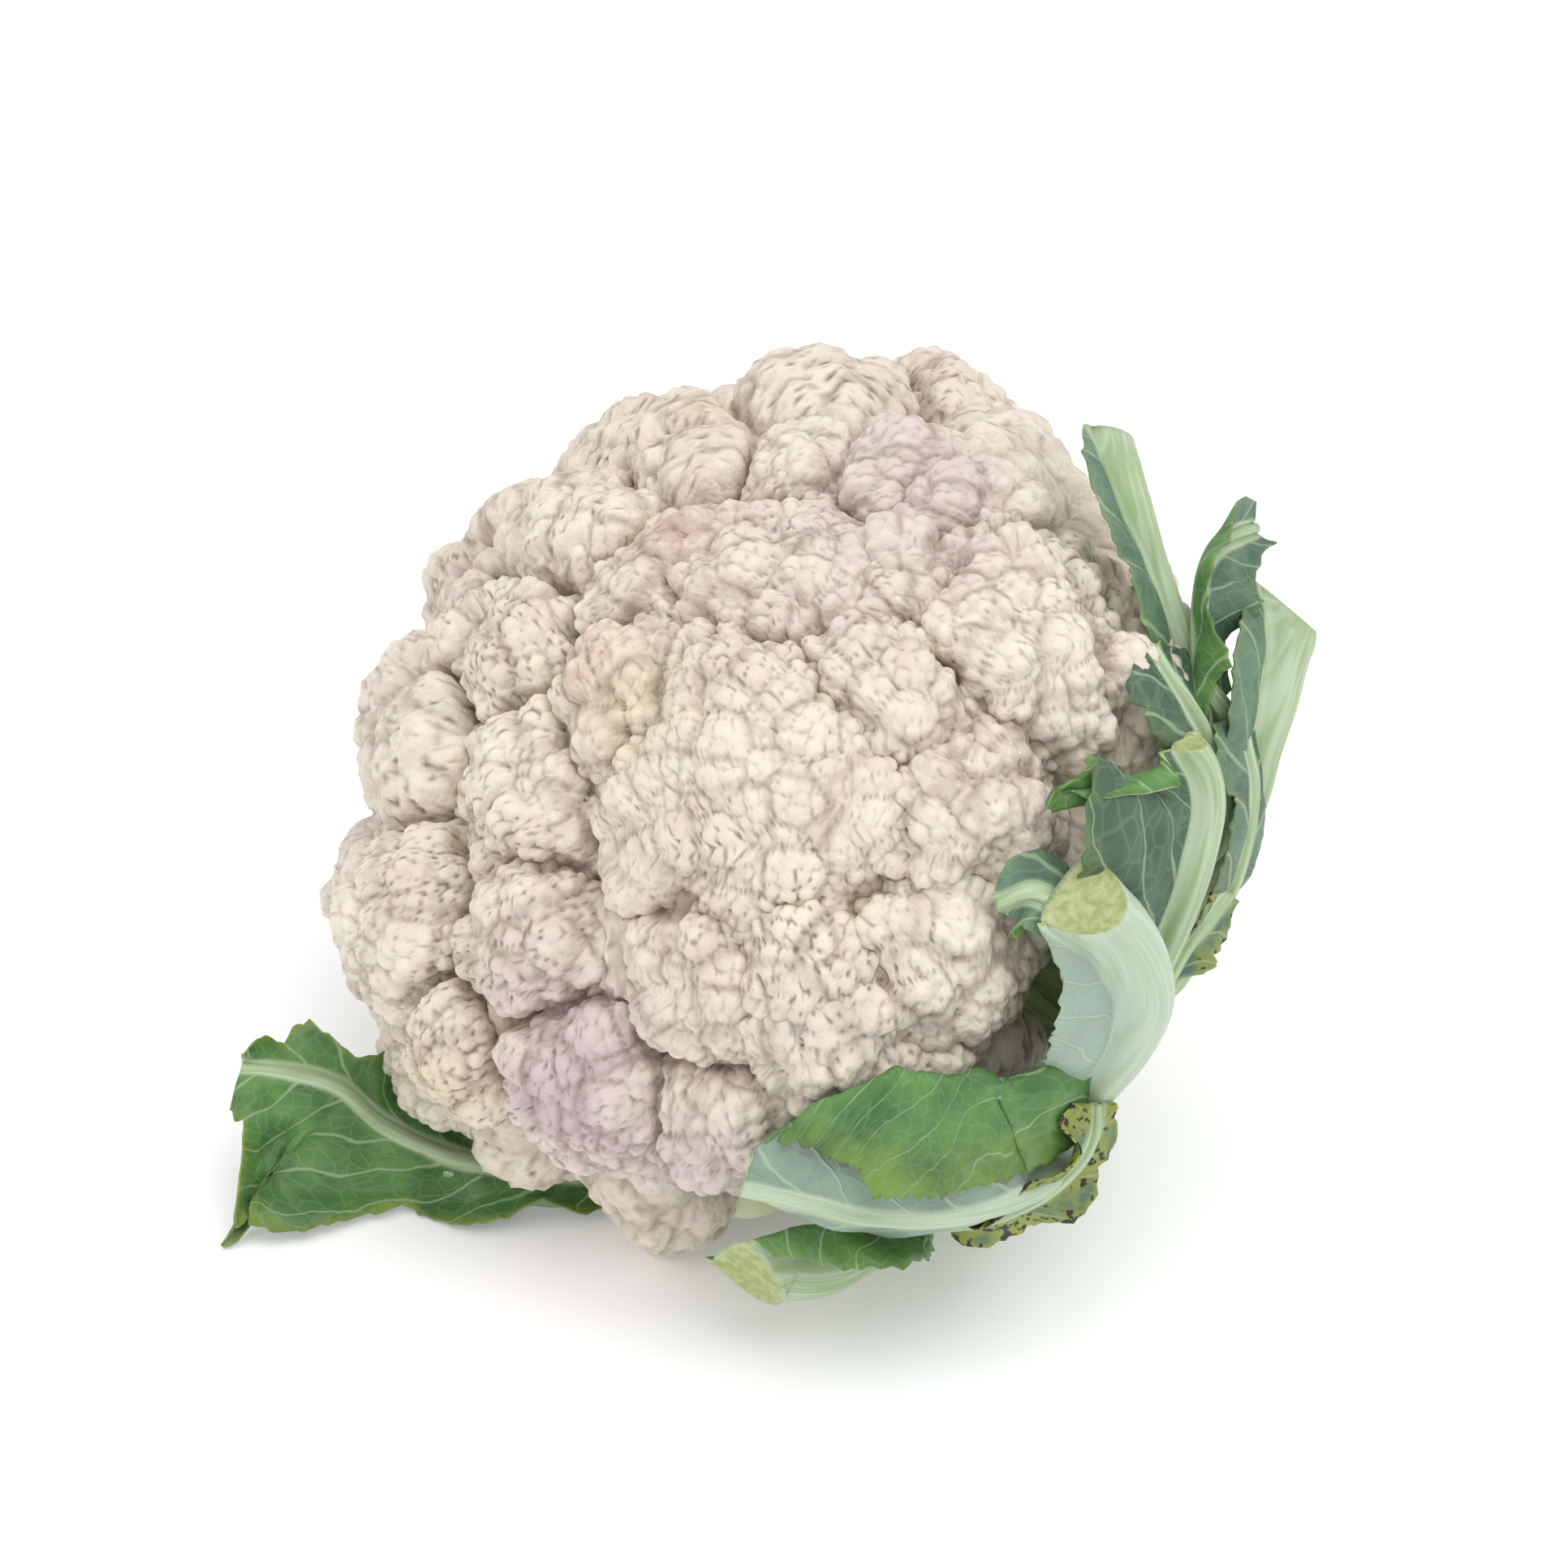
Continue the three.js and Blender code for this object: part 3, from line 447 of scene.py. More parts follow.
def lobes_of(index, polar, azimuth, radius, lift):
    """A floret's middle and balls (x, y, z, radius): one in the middle, and lobes in a spiral over its cap."""
    d = head_direction(polar, azimuth)
    size = min(LOBE_RADIUS, LOBE_LARGEST_SHARE * radius)
    centre = d * (head_reach(d) - radius - (1 - LOBE_SINK) * size + lift)
    count = max(FEWEST_LOBES, round(LOBES_PER_MM2 * radius * radius))
    i = np.arange(count)
    seed = index * SEEDS_PER_FLORET + i
    z = 1 - (i + 0.5) / count * (1 - math.cos(LOBE_CAP))
    tip = np.arccos(z) + (chance(seed) - 0.5) * LOBE_TIP_SPREAD
    turn_round = i * GOLDEN_ANGLE + index + (chance(seed + TURN_SEED) - 0.5) * LOBE_TURN_SPREAD
    local = directions_at(tip, turn_round)
    places = centre + local @ floret_axes(d) * (radius - LOBE_SINK * size)
    sizes = size * (LOBE_SMALLEST + LOBE_SIZE_SPREAD * chance(seed + SIZE_SEED))
    middle = [[*centre, radius - MIDDLE_SINK * size]]
    return centre, np.concatenate([middle, np.column_stack([places, sizes])])


filler_share = (np.arange(FILLER_COUNT) + 0.5) / FILLER_COUNT
filler_polar = np.degrees(np.arccos(1 - filler_share * (1 - math.cos(FILLER_LOWEST))))
filler_azimuth = np.degrees(np.arange(FILLER_COUNT) * GOLDEN_ANGLE)
florets = [(i + 1, *row) for i, row in enumerate(FLORETS)]
florets += [(FIRST_GAP_FLORET + i, *row) for i, row in enumerate(GAP_FLORETS)]
florets += [
    (FIRST_FILLER + i, filler_polar[i], filler_azimuth[i], FILLER_RADIUS, -FILLER_DEPTH)
    for i in range(FILLER_COUNT)
]
heaps = [lobes_of(*row) for row in florets]
print("florets:", len(florets), "lobes:", sum(len(balls) for _, balls in heaps))

# %% [markdown]
# ### A skin over a heap of balls
#
# The far side of a floret is buried in its neighbours, so its grid of points is dense only on the cap that
# shows. A square grid is bent to a disc, and the disc to the cap, which keeps the faces even; the rim of
# the disc closes round the buried side.

# %% Rays, spirals and grids
RAYS_AT_ONCE = 4000
RIM_SHARE = 0.93
RIM_END = math.radians(174)


def last_exit(directions, offsets, radii):
    """Where rays from the middle leave the last ball: along + sqrt(along^2 - distance^2 + radius^2).
    Also which ball that is, and how far before it the ray leaves the next ball: 0 in the crease between them."""
    best = np.zeros(len(directions))
    lead = np.zeros(len(directions))
    which = np.zeros(len(directions), int)
    spare = (offsets ** 2).sum(axis=1) - radii ** 2
    for start in range(0, len(directions), RAYS_AT_ONCE):
        part = slice(start, start + RAYS_AT_ONCE)
        ahead = directions[part] @ offsets.T
        inside = ahead ** 2 - spare
        reach = np.where((inside > 0) & (ahead > 0), ahead + np.sqrt(np.maximum(inside, 0)), 0)
        which[part] = reach.argmax(axis=1)
        best[part] = reach.max(axis=1)
        reach[np.arange(len(reach)), which[part]] = 0
        lead[part] = best[part] - reach.max(axis=1)
    return best, which, lead


def farthest_exit(directions, offsets, radii):
    """Only the distance of the last exit."""
    return last_exit(directions, offsets, radii)[0]


def sprinkle(count, widest, seed, nudge):
    """Directions about +z in a golden-angle spiral over a cap, each moved a little by chance."""
    i = np.arange(count)
    tip = np.arccos(1 - (i + 0.5) / count * (1 - math.cos(widest)))
    tip = np.abs(tip + (chance(seed + i) - 0.5) * nudge)
    sideways = (chance(seed + i + TURN_SEED) - 0.5) * nudge / np.maximum(np.sin(tip), nudge)
    return directions_at(tip, i * GOLDEN_ANGLE + sideways)


def ball_grid(side, widest):
    """Directions about +z from a square grid: bent to a disc of radius q, then a polar angle of
    2 asin(q / rim share * sin(widest / 2)) on the cap and a straight run to the far side past it."""
    a, b = np.meshgrid(np.linspace(-1, 1, side), np.linspace(-1, 1, side))
    wide = np.abs(a) > np.abs(b)
    q = np.where(wide, a, b)
    safe = np.where(np.abs(q) < 1e-9, 1, q)
    angle = np.where(wide, math.pi / 4 * b / safe, math.pi / 2 - math.pi / 4 * a / safe)
    x, y = q * np.cos(angle), q * np.sin(angle)
    q = np.abs(q)
    cap = 2 * np.arcsin(np.minimum(q / RIM_SHARE, 1) * math.sin(widest / 2))
    tip = cap + np.clip((q - RIM_SHARE) / (1 - RIM_SHARE), 0, 1) * (RIM_END - widest)
    across = np.sin(tip) / np.where(q < 1e-9, 1, q)
    grid = np.stack([x * across, y * across, np.cos(tip)], axis=-1).reshape(-1, 3)
    rim = np.arange(side * side).reshape(side, side)
    ring = np.concatenate([rim[0, :-1], rim[:-1, -1], rim[-1, :0:-1], rim[:0:-1, 0]])
    last = np.full(len(ring), side * side)
    fan = np.stack([np.roll(ring, -1), ring, last], axis=-1)
    return np.concatenate([grid, [[0.0, 0.0, -1.0]]]), [quads_between(rim), fan]


# %% [markdown]
# ### Buds and beads
#
# Buds and beads are sprinkled over each floret the same way as the lobes, one level finer, and sunk into
# the level below. Only what can show gets fine points: a floret's cap ends where its neighbours cover it,
# and one that they cover altogether is left out.

# %% Make the florets
BUD_SPACING = 8.2
BUD_RADIUS = 5.6
BUD_SINK = 0.66
BUDS_MORE = 1.35
BUD_VALLEY = 0.8
BEAD_SPACING = 3.1
BEAD_RADIUS = 2.1
BEADS_MORE = 1.7
BEAD_SINK = 0.5
BEAD_VALLEY = 0.9
SIZE_VARIES = 0.3
NUDGE = 0.42
LOBE_CREASE = 1.5
BUD_CREASE = 0.8
BEAD_CREASE = 0.4
SEAM_WIDTH = 3.0
SEAM_DEPTH = 2.9
SEAM_SHADE = 1.8
SEAM_SEARCH = 22.0
NEAR_STEP = 0.76
FAR_STEP = 1.25
FILLER_STEP = 1.45
TESTED_DIRECTIONS = 500
CAP_MARGIN = math.radians(7)
WIDEST_CAP = math.radians(125)
FLOOR_CLEAR = 0.02
FAR_AZIMUTH = 112
TOP_POLAR = 40
GRAIN_SEEDS_PER_FLORET = 1000
BEAD_SEED = 500
BEAD_SIZE_SEED = 64
TRIANGLES_A_PIECE = 150000

BLUSHES = [
    # polar angle, azimuth, spread in degrees, then how violet, brown and yellow the skin is there
    (65, -59, 12, 1.0, 0.1, 0.0), (44, 52, 12, 0.4, 0.0, 0.0), (57, 80, 10, 0.4, 0.0, 0.0),
    (60, 64, 9, 0.3, 0.0, 0.0), (80, -46, 10, 0.6, 0.0, 0.0), (53, -64, 10, 0.25, 0.1, 0.0),
    (25, 93, 7, 0.1, 0.8, 0.0), (10, 3, 7, 0.1, 0.8, 0.0), (47, 118, 7, 0.1, 0.6, 0.0),
    (21, -7, 9, 0.0, 0.1, 0.3), (64, -80, 8, 0.0, 0.1, 0.4),
]


def blush(directions):
    """How violet, brown and yellow the skin is: at each blush exp(-(angle / spread)^2), summed."""
    total = np.zeros((len(directions), 3))
    for polar, azimuth, spread, *tints in BLUSHES:
        angle = np.degrees(np.arccos(np.clip(directions @ head_direction(polar, azimuth), -1, 1)))
        total += np.exp(-(angle / spread) ** 2)[:, None] * np.array(tints)
    return np.clip(total, 0, 1)


def shown_cap(number):
    """Widest angle from a floret's axis at which its skin is outside every other floret, or None."""
    centre, balls = heaps[number]
    axes = floret_axes(unit(centre))
    local = sprinkle(TESTED_DIRECTIONS, math.pi, 0, 0)
    directions = local @ axes
    skin = centre + directions * farthest_exit(directions, balls[:, :3] - centre, balls[:, 3])[:, None]
    others = np.concatenate([heap for i, (_, heap) in enumerate(heaps) if i != number])
    gaps = np.linalg.norm(skin[:, None] - others[None, :, :3], axis=2) - others[None, :, 3]
    shown = gaps.min(axis=1) > 0
    return float(np.arccos(local[shown, 2]).max()) if shown.any() else None


def gap_to_others(number, skin, mean):
    """Distance from points on a floret to the nearest ball of another one, or 0 inside it: the least of
    the distances to the balls' middles less their radii."""
    centre = heaps[number][0]
    near = np.concatenate([heap for i, (_, heap) in enumerate(heaps[:len(FLORETS)]) if i != number])
    near = near[np.linalg.norm(near[:, :3] - centre, axis=1) < mean + SEAM_SEARCH]
    gap = np.full(len(skin), SEAM_SEARCH)
    for x, y, z, ball in near:
        gap = np.minimum(gap, np.sqrt(((skin - [x, y, z]) ** 2).sum(axis=1)) - ball)
    return np.maximum(gap, 0)


def floret_skin(number, step):
    """Points, faces and attributes of one floret: a lobe skin, buds on it, and beads on those."""
    index, _, _, radius, _ = florets[number]
    centre, balls = heaps[number]
    widest = shown_cap(number)
    if widest is None:
        return None
    widest = min(widest + CAP_MARGIN, WIDEST_CAP)
    axes = floret_axes(unit(centre))
    offsets, radii = balls[:, :3] - centre, balls[:, 3]
    mean = radius + LOBE_SINK * LOBE_RADIUS / 2
    area = 2 * math.pi * mean ** 2 * (1 - math.cos(widest))
    seed = index * GRAIN_SEEDS_PER_FLORET

    bud_count = int(area / BUD_SPACING ** 2 * BUDS_MORE)
    bud_way = sprinkle(bud_count, widest, seed, NUDGE * BUD_SPACING / mean) @ axes
    bud_size = BUD_RADIUS * (1 + SIZE_VARIES * (chance(seed + np.arange(bud_count) + SIZE_SEED) - 0.5))
    bud_at = bud_way * (farthest_exit(bud_way, offsets, radii) - BUD_SINK * bud_size)[:, None]

    def budded(directions):
        return np.maximum(
            farthest_exit(directions, offsets, radii) - BUD_VALLEY,
            farthest_exit(directions, bud_at, bud_size),
        )

    bead_count = int(area / BEAD_SPACING ** 2 * BEADS_MORE)
    bead_way = sprinkle(bead_count, widest, seed + BEAD_SEED, NUDGE * BEAD_SPACING / mean) @ axes
    bead_chance = chance(seed + np.arange(bead_count) + BEAD_SIZE_SEED)
    bead_size = BEAD_RADIUS * (1 + SIZE_VARIES * (bead_chance - 0.5))
    bead_at = bead_way * (budded(bead_way) - BEAD_SINK * bead_size)[:, None]

    side = int(math.sqrt(area / (RIM_SHARE * step) ** 2 / math.pi * 4))
    local, faces = ball_grid(side, widest)
    directions = local @ axes
    lobed, _, lobe_lead = last_exit(directions, offsets, radii)
    bud_reach, which_bud, bud_lead = last_exit(directions, bud_at, bud_size)
    bed = np.maximum(lobed - BUD_VALLEY, bud_reach)
    bead_reach, which_bead, bead_lead = last_exit(directions, bead_at, bead_size)
    reach = np.maximum(bed - BEAD_VALLEY, bead_reach)
    gap = gap_to_others(number, centre + directions * reach[:, None], mean)
    skin = centre + directions * (reach - SEAM_DEPTH * np.exp(-(gap / SEAM_WIDTH) ** 2))[:, None]
    # The painted shade in the finish comes from these: how near each point lies to a seam between florets or to
    # a crease between lobes, buds and beads. Tone is a random lightness for each bud and bead.
    hollows = {
        "seam": np.exp(-gap / SEAM_SHADE),
        "lobe_crease": np.exp(-lobe_lead / LOBE_CREASE),
        "bud_crease": np.exp(-bud_lead / BUD_CREASE),
        "bead_crease": np.exp(-bead_lead / BEAD_CREASE),
        "tone": 0.5 * chance(which_bead + seed) + 0.5 * chance(which_bud + seed),
    }
    points = to_world(skin)
    points[:, 2] = np.maximum(points[:, 2], FLOOR_CLEAR)
    return points, faces, hollows


def step_for(index, polar, azimuth):
    """Distance between the points of a floret's skin: least on top and on the camera's side of the head."""
    if index >= FIRST_FILLER:
        return FILLER_STEP
    turned_away = abs((azimuth + 180) % 360 - 180)
    return NEAR_STEP if polar <= TOP_POLAR or turned_away < FAR_AZIMUTH else FAR_STEP


def triangles_in(skin):
    """How many triangles a floret's skin has: two to each face of four corners, one to each of three."""
    _, (quads, fan), _ = skin
    return 2 * len(quads) + len(fan)


groups = [[]]
triangles = 0
for number, (index, polar, azimuth, *_) in enumerate(florets):
    skin = floret_skin(number, step_for(index, polar, azimuth))
    if skin is None:
        continue
    count = triangles_in(skin)
    if triangles + count > TRIANGLES_A_PIECE:
        groups.append([])
        triangles = 0
    groups[-1].append(skin)
    triangles += count
shown_triangles = sum(triangles_in(skin) for skins in groups for skin in skins)
print("pieces of curd:", len(groups), "triangles:", shown_triangles)

for number, skins in enumerate(groups):
    points, faces = [], []
    first = 0
    for skin_points, skin_faces, _ in skins:
        points.append(skin_points)
        faces += [f + first for f in skin_faces]
        first += len(skin_points)
    points = np.concatenate(points)
    tints = blush(unit(to_head(points)))
    attributes = {name: np.concatenate([skin[2][name] for skin in skins]) for name in skins[0][2]}
    attributes |= {name: tints[:, i] for i, name in enumerate(("violet", "brown", "yellow"))}
    make_piece(f"florets_{number + 1}", points, faces, curd_material, "curd", attributes)

# %% [markdown]
# ## Under the curd
#
# Below the florets the branches spread from the stalk like ribs of an umbrella. One smooth skin covers the
# core, the neck and the nine branches; it is found from the head's centre in the same way as the florets.

# %% Core and branches
CORE_DEPTH = 17.0
CORE_DEEPER_BELOW = 6.0
BRANCH_COUNT = 9
BRANCH_BALLS = np.array([[26, -28, 9], [40, -26, 10], [53, -21, 11], [65, -14, 12]], float)
NECK_RADIUS = 22.0
NECK_UP = -24.0
CURD_CUT_UP = -35.7
CORE_SIDE = 150
LEAST_DOWN = 1e-3
CORE_WIDEST = math.radians(115)

turns = (np.repeat(np.arange(BRANCH_COUNT), len(BRANCH_BALLS)) + 0.5) * 2 * math.pi / BRANCH_COUNT
out, up, ball = np.tile(BRANCH_BALLS, (BRANCH_COUNT, 1)).T
branch_at = np.stack([out * np.cos(turns), out * np.sin(turns), up], axis=-1)
branch_at = np.concatenate([branch_at, [[0.0, 0.0, NECK_UP]]])
branch_size = np.append(ball, NECK_RADIUS)

core_local, core_faces = ball_grid(CORE_SIDE, CORE_WIDEST)
core_way = core_local * [1, -1, -1]
core_reach = head_reach(core_way) - CORE_DEPTH - CORE_DEEPER_BELOW * np.maximum(0, -core_way[:, 2])
core_reach = np.maximum(core_reach, farthest_exit(core_way, branch_at, branch_size))
flat = CURD_CUT_UP / np.minimum(core_way[:, 2], -LEAST_DOWN)
core_points = to_world(core_way * np.minimum(core_reach, flat)[:, None])
core_points[:, 2] = np.maximum(core_points[:, 2], FLOOR_CLEAR)
make_piece("core_and_branches", core_points, core_faces, stem_material, "curd")

# %% [markdown]
# ## Stalk
#
# A stalk is turned from a profile. Cut leaves have left low rings round it, and its cut end has dried to
# a shallow dish.

# %% Stalk
STALK_TOP_UP = -36.0
STALK_END_UP = -79.5
STALK_RADIUS = 16.0
STALK_RING_RISE = 1.2
STALK_SCARS = 3
STALK_ROWS = 44
STALK_END_ROWS = 14
STALK_SIDES = 96
DISH_DEPTH = 1.6
EDGE_ROUND = 1.4
SCAR_WANDER = 0.8
SCAR_SHARPNESS = 6
SCAR_MIDDLE = 0.3

side_up = np.linspace(STALK_TOP_UP, STALK_END_UP + EDGE_ROUND, STALK_ROWS)
side_out = np.full(STALK_ROWS, STALK_RADIUS)
end_share = np.linspace(1, 0, STALK_END_ROWS)[:-1]
end_out = (STALK_RADIUS - EDGE_ROUND) * end_share
end_up = STALK_END_UP + DISH_DEPTH * (1 - end_share ** 2)
profile_out = np.concatenate([side_out, end_out])
profile_up = np.concatenate([side_up, end_up])
around = np.arange(STALK_SIDES) * 2 * math.pi / STALK_SIDES
on_side = np.concatenate([np.ones(STALK_ROWS), np.zeros(len(end_out))])
height = (profile_up - STALK_END_UP) / (STALK_TOP_UP - STALK_END_UP)
wander = SCAR_WANDER * np.sin(2 * around + 5 * height[:, None])
scars = np.abs(np.sin(math.pi * STALK_SCARS * height[:, None] + wander)) ** SCAR_SHARPNESS
radius_here = profile_out[:, None] + on_side[:, None] * STALK_RING_RISE * (scars - SCAR_MIDDLE)
stalk_grid = np.stack([
    radius_here * np.cos(around), radius_here * np.sin(around),
    np.broadcast_to(profile_up[:, None], radius_here.shape),
], axis=-1)
rows_in_stalk = len(profile_up)
stalk_points = np.concatenate([
    stalk_grid.reshape(-1, 3), [[0, 0, STALK_TOP_UP]], [[0, 0, STALK_END_UP + DISH_DEPTH]],
])
rings = closed_round(rows_in_stalk, STALK_SIDES)
stalk_quads = quads_between(rings[:, ::-1])
top_ring, last_ring = rings[0], rings[-1]
middle = rows_in_stalk * STALK_SIDES
top_fan = np.stack([top_ring[:-1], top_ring[1:], np.full(STALK_SIDES, middle)], axis=-1)
end_fan = np.stack([last_ring[1:], last_ring[:-1], np.full(STALK_SIDES, middle + 1)], axis=-1)
stalk_points = to_world(stalk_points)
stalk_points[:, 2] = np.maximum(stalk_points[:, 2], FLOOR_CLEAR)
cut_end = np.repeat(1 - on_side, STALK_SIDES)
make_piece(
    "stalk", stalk_points, [stalk_quads, top_fan, end_fan], stem_material, "stalk",
    {"cut": np.concatenate([cut_end, [0, 1]])},
)

# %% [markdown]
# ### Leaf
#
# The outside of a leaf has a waxy blue-green bloom, and the inside is a brighter green. Side veins leave
# the rib slantwise, and a fine net joins them. Ribs are whitish green and finely streaked. Old margins
# turn yellow with brown specks, and trimmed ends show wet, fibrous flesh.

# %% Leaf finish
VEIN_SPACING = 10.5
VEIN_SLANT = 1.1
NET_CELL = 3.2
STREAK = 0.7
UV_LENGTH = 100.0
VEIN_WOBBLE = 11.0
WOBBLE_GRAIN = 14
BLOTCH_GRAIN = 9
FINE_GRAIN = 1.6
WARP_GRAIN = 5
OUTER_DEEP = "#4c6a55"
OUTER_LIGHT = "#6b8a72"
OUTER_DARK = "#35503d"
INNER_DEEP = "#3d6a33"
INNER_LIGHT = "#5b8a42"
NET_TINT = "#8ba683"
VEIN_TINT = "#a3b993"
YELLOWED = "#979c34"
SPECK_BROWN = "#2a2010"
RIB_LIGHT = "#b7c8aa"
RIB_DEEP = "#9bb285"
PALE_BLOOM = "#cbd9d0"
CUT_LIGHT = "#b6be8c"
CUT_DEEP = "#98a564"

leaf_material, leaf_shader = new_material("fresh brassica leaf")
uv = add_node(leaf_material, "ShaderNodeUVMap", {"uv_map": "blade"}).outputs["UV"]
place = add_node(leaf_material, "ShaderNodeTexCoord").outputs["Object"]
wobble = noise(leaf_material, WOBBLE_GRAIN, 2.0, place)
blotch = noise(leaf_material, BLOTCH_GRAIN, 3.0, place)
fine = noise(leaf_material, FINE_GRAIN, 2.0, place)
axes_uv = add_node(leaf_material, "ShaderNodeSeparateXYZ", None, Vector=uv)
run = maths(leaf_material, "MULTIPLY", axes_uv.outputs["X"], UV_LENGTH)
off = maths(leaf_material, "ABSOLUTE", maths(leaf_material, "MULTIPLY", axes_uv.outputs["Y"], UV_LENGTH))
phase = maths(leaf_material, "MULTIPLY_ADD", off, -VEIN_SLANT, run)
phase = maths(leaf_material, "MULTIPLY_ADD", wobble, VEIN_WOBBLE, phase)
phase = maths(leaf_material, "PINGPONG", maths(leaf_material, "DIVIDE", phase, VEIN_SPACING), 0.5)
vein_width = ramp(leaf_material, off, 0.0, 30.0, 0.085, 0.04)
side_vein = maths(leaf_material, "SUBTRACT", 1.0, maths(leaf_material, "DIVIDE", phase, vein_width))
side_vein = ramp(leaf_material, side_vein, 0.0, 0.8)
warp_noise = add_node(
    leaf_material, "ShaderNodeTexNoise", None, Vector=place, Scale=1000 / WARP_GRAIN, Detail=1.0,
).outputs["Color"]
warp = mix(leaf_material, 0.012, uv, warp_noise, "ADD")
net_edge = add_node(
    leaf_material, "ShaderNodeTexVoronoi", {"feature": "DISTANCE_TO_EDGE"},
    Vector=warp, Scale=UV_LENGTH / NET_CELL,
).outputs["Distance"]
net = ramp(leaf_material, net_edge, 0.0, 0.11, 1.0, 0.0)
inner = attribute(leaf_material, "inner")
rib = attribute(leaf_material, "rib")
margin = attribute(leaf_material, "margin")
age = attribute(leaf_material, "age")
dark = attribute(leaf_material, "dark")
pale = attribute(leaf_material, "pale")
cut = attribute(leaf_material, "cut")

waxy = mix(leaf_material, ramp(leaf_material, blotch, 0.3, 0.7), OUTER_DEEP, OUTER_LIGHT)
waxy = mix(leaf_material, maths(leaf_material, "MULTIPLY", dark, 0.8), waxy, OUTER_DARK)
bright = mix(leaf_material, ramp(leaf_material, blotch, 0.3, 0.7), INNER_DEEP, INNER_LIGHT)
green = mix(leaf_material, inner, waxy, bright)
green = mix(leaf_material, maths(leaf_material, "MULTIPLY", net, 0.2), green, NET_TINT)
green = mix(leaf_material, maths(leaf_material, "MULTIPLY", side_vein, 0.6), green, VEIN_TINT)
edge = ramp(leaf_material, maths(leaf_material, "MULTIPLY_ADD", blotch, 0.5, margin), 1.0, 1.3)
oldest = ramp(leaf_material, age, 0.6, 1.0, 0.0, 0.75)
old = maths(leaf_material, "MULTIPLY", oldest, ramp(leaf_material, blotch, 0.35, 0.55))
yellowing = maths(leaf_material, "MAXIMUM", maths(leaf_material, "MULTIPLY", edge, age), old)
green = mix(leaf_material, yellowing, green, YELLOWED)
specks = ramp(leaf_material, maths(leaf_material, "MULTIPLY_ADD", yellowing, 0.28, fine), 0.72, 0.8)
green = mix(leaf_material, maths(leaf_material, "MULTIPLY", specks, age), green, SPECK_BROWN)
streak_at = add_node(
    leaf_material, "ShaderNodeMapping", None, Vector=uv, Scale=(4.0, UV_LENGTH / STREAK, 1.0),
).outputs["Vector"]
streaks = noise(leaf_material, 1000, 2.0, streak_at)
flesh = mix(leaf_material, ramp(leaf_material, streaks, 0.35, 0.65), RIB_LIGHT, RIB_DEEP)
green = mix(leaf_material, ramp(leaf_material, rib, 0.1, 0.7), green, flesh)
bloom = maths(leaf_material, "MULTIPLY", maths(leaf_material, "SUBTRACT", 1.0, inner), pale)
green = mix(leaf_material, maths(leaf_material, "MULTIPLY", bloom, 0.42), green, PALE_BLOOM)
fibre = mix(leaf_material, ramp(leaf_material, fine, 0.3, 0.7), CUT_LIGHT, CUT_DEEP)
green = mix(leaf_material, cut, green, fibre)
height = maths(leaf_material, "MULTIPLY_ADD", net, 0.25, side_vein)
height = maths(leaf_material, "MULTIPLY", height, ramp(leaf_material, rib, 0.0, 0.6, 1.0, 0.0))
height = maths(leaf_material, "MULTIPLY_ADD", maths(leaf_material, "MULTIPLY", streaks, 0.5), rib, height)
leaf_bump = add_node(leaf_material, "ShaderNodeBump", None, Height=height, Strength=0.5, Distance=0.0005)
links = leaf_material.node_tree.links
links.new(green, leaf_shader.inputs["Base Color"])
links.new(leaf_bump.outputs["Normal"], leaf_shader.inputs["Normal"])
leaf_shader.inputs["Roughness"].default_value = 0.48
leaf_shader.inputs["Subsurface Weight"].default_value = 0.2
leaf_shader.inputs["Subsurface Radius"].default_value = (0.5, 1.0, 0.25)
leaf_shader.inputs["Subsurface Scale"].default_value = 0.0015

# %% [markdown]
# ## Leaves
#
# A leaf is a line from its root on the stalk to its tip or cut end, with a thick rib along it and a thin
# blade to each side. The table gives what varies. The path is in the head's own terms: distance from its
# axis, height along it, and azimuth. A blade leaves the rib at an angle, turns by another between two
# shares of its width, and may slant towards the tip. A roll gives the share of the leaf's length past
# which the blade rolls outwards, and the radius of the roll.
#
# The gap is how far the leaf stays off the florets. A wave and lobes are each a size and a count, and
# crumple is a height. The grid is rows along the leaf and columns across each blade. A cut gives how far
# the end is pulled back for each mm outwards and across, and the share of the length where that starts.
# Age, dark and pale go to the finish.

# %% Leaf table
def side_blade(width, leave, turn, over=(0, 1), slant=0, roll=None):
    """One side's blade: its widths along the leaf, the angles at which it leaves the rib and then turns, the
    shares of its width between which it turns, its slant and its roll."""
    return {"width": width, "leave": leave, "turn": turn, "over": over, "slant": slant, "roll": roll}


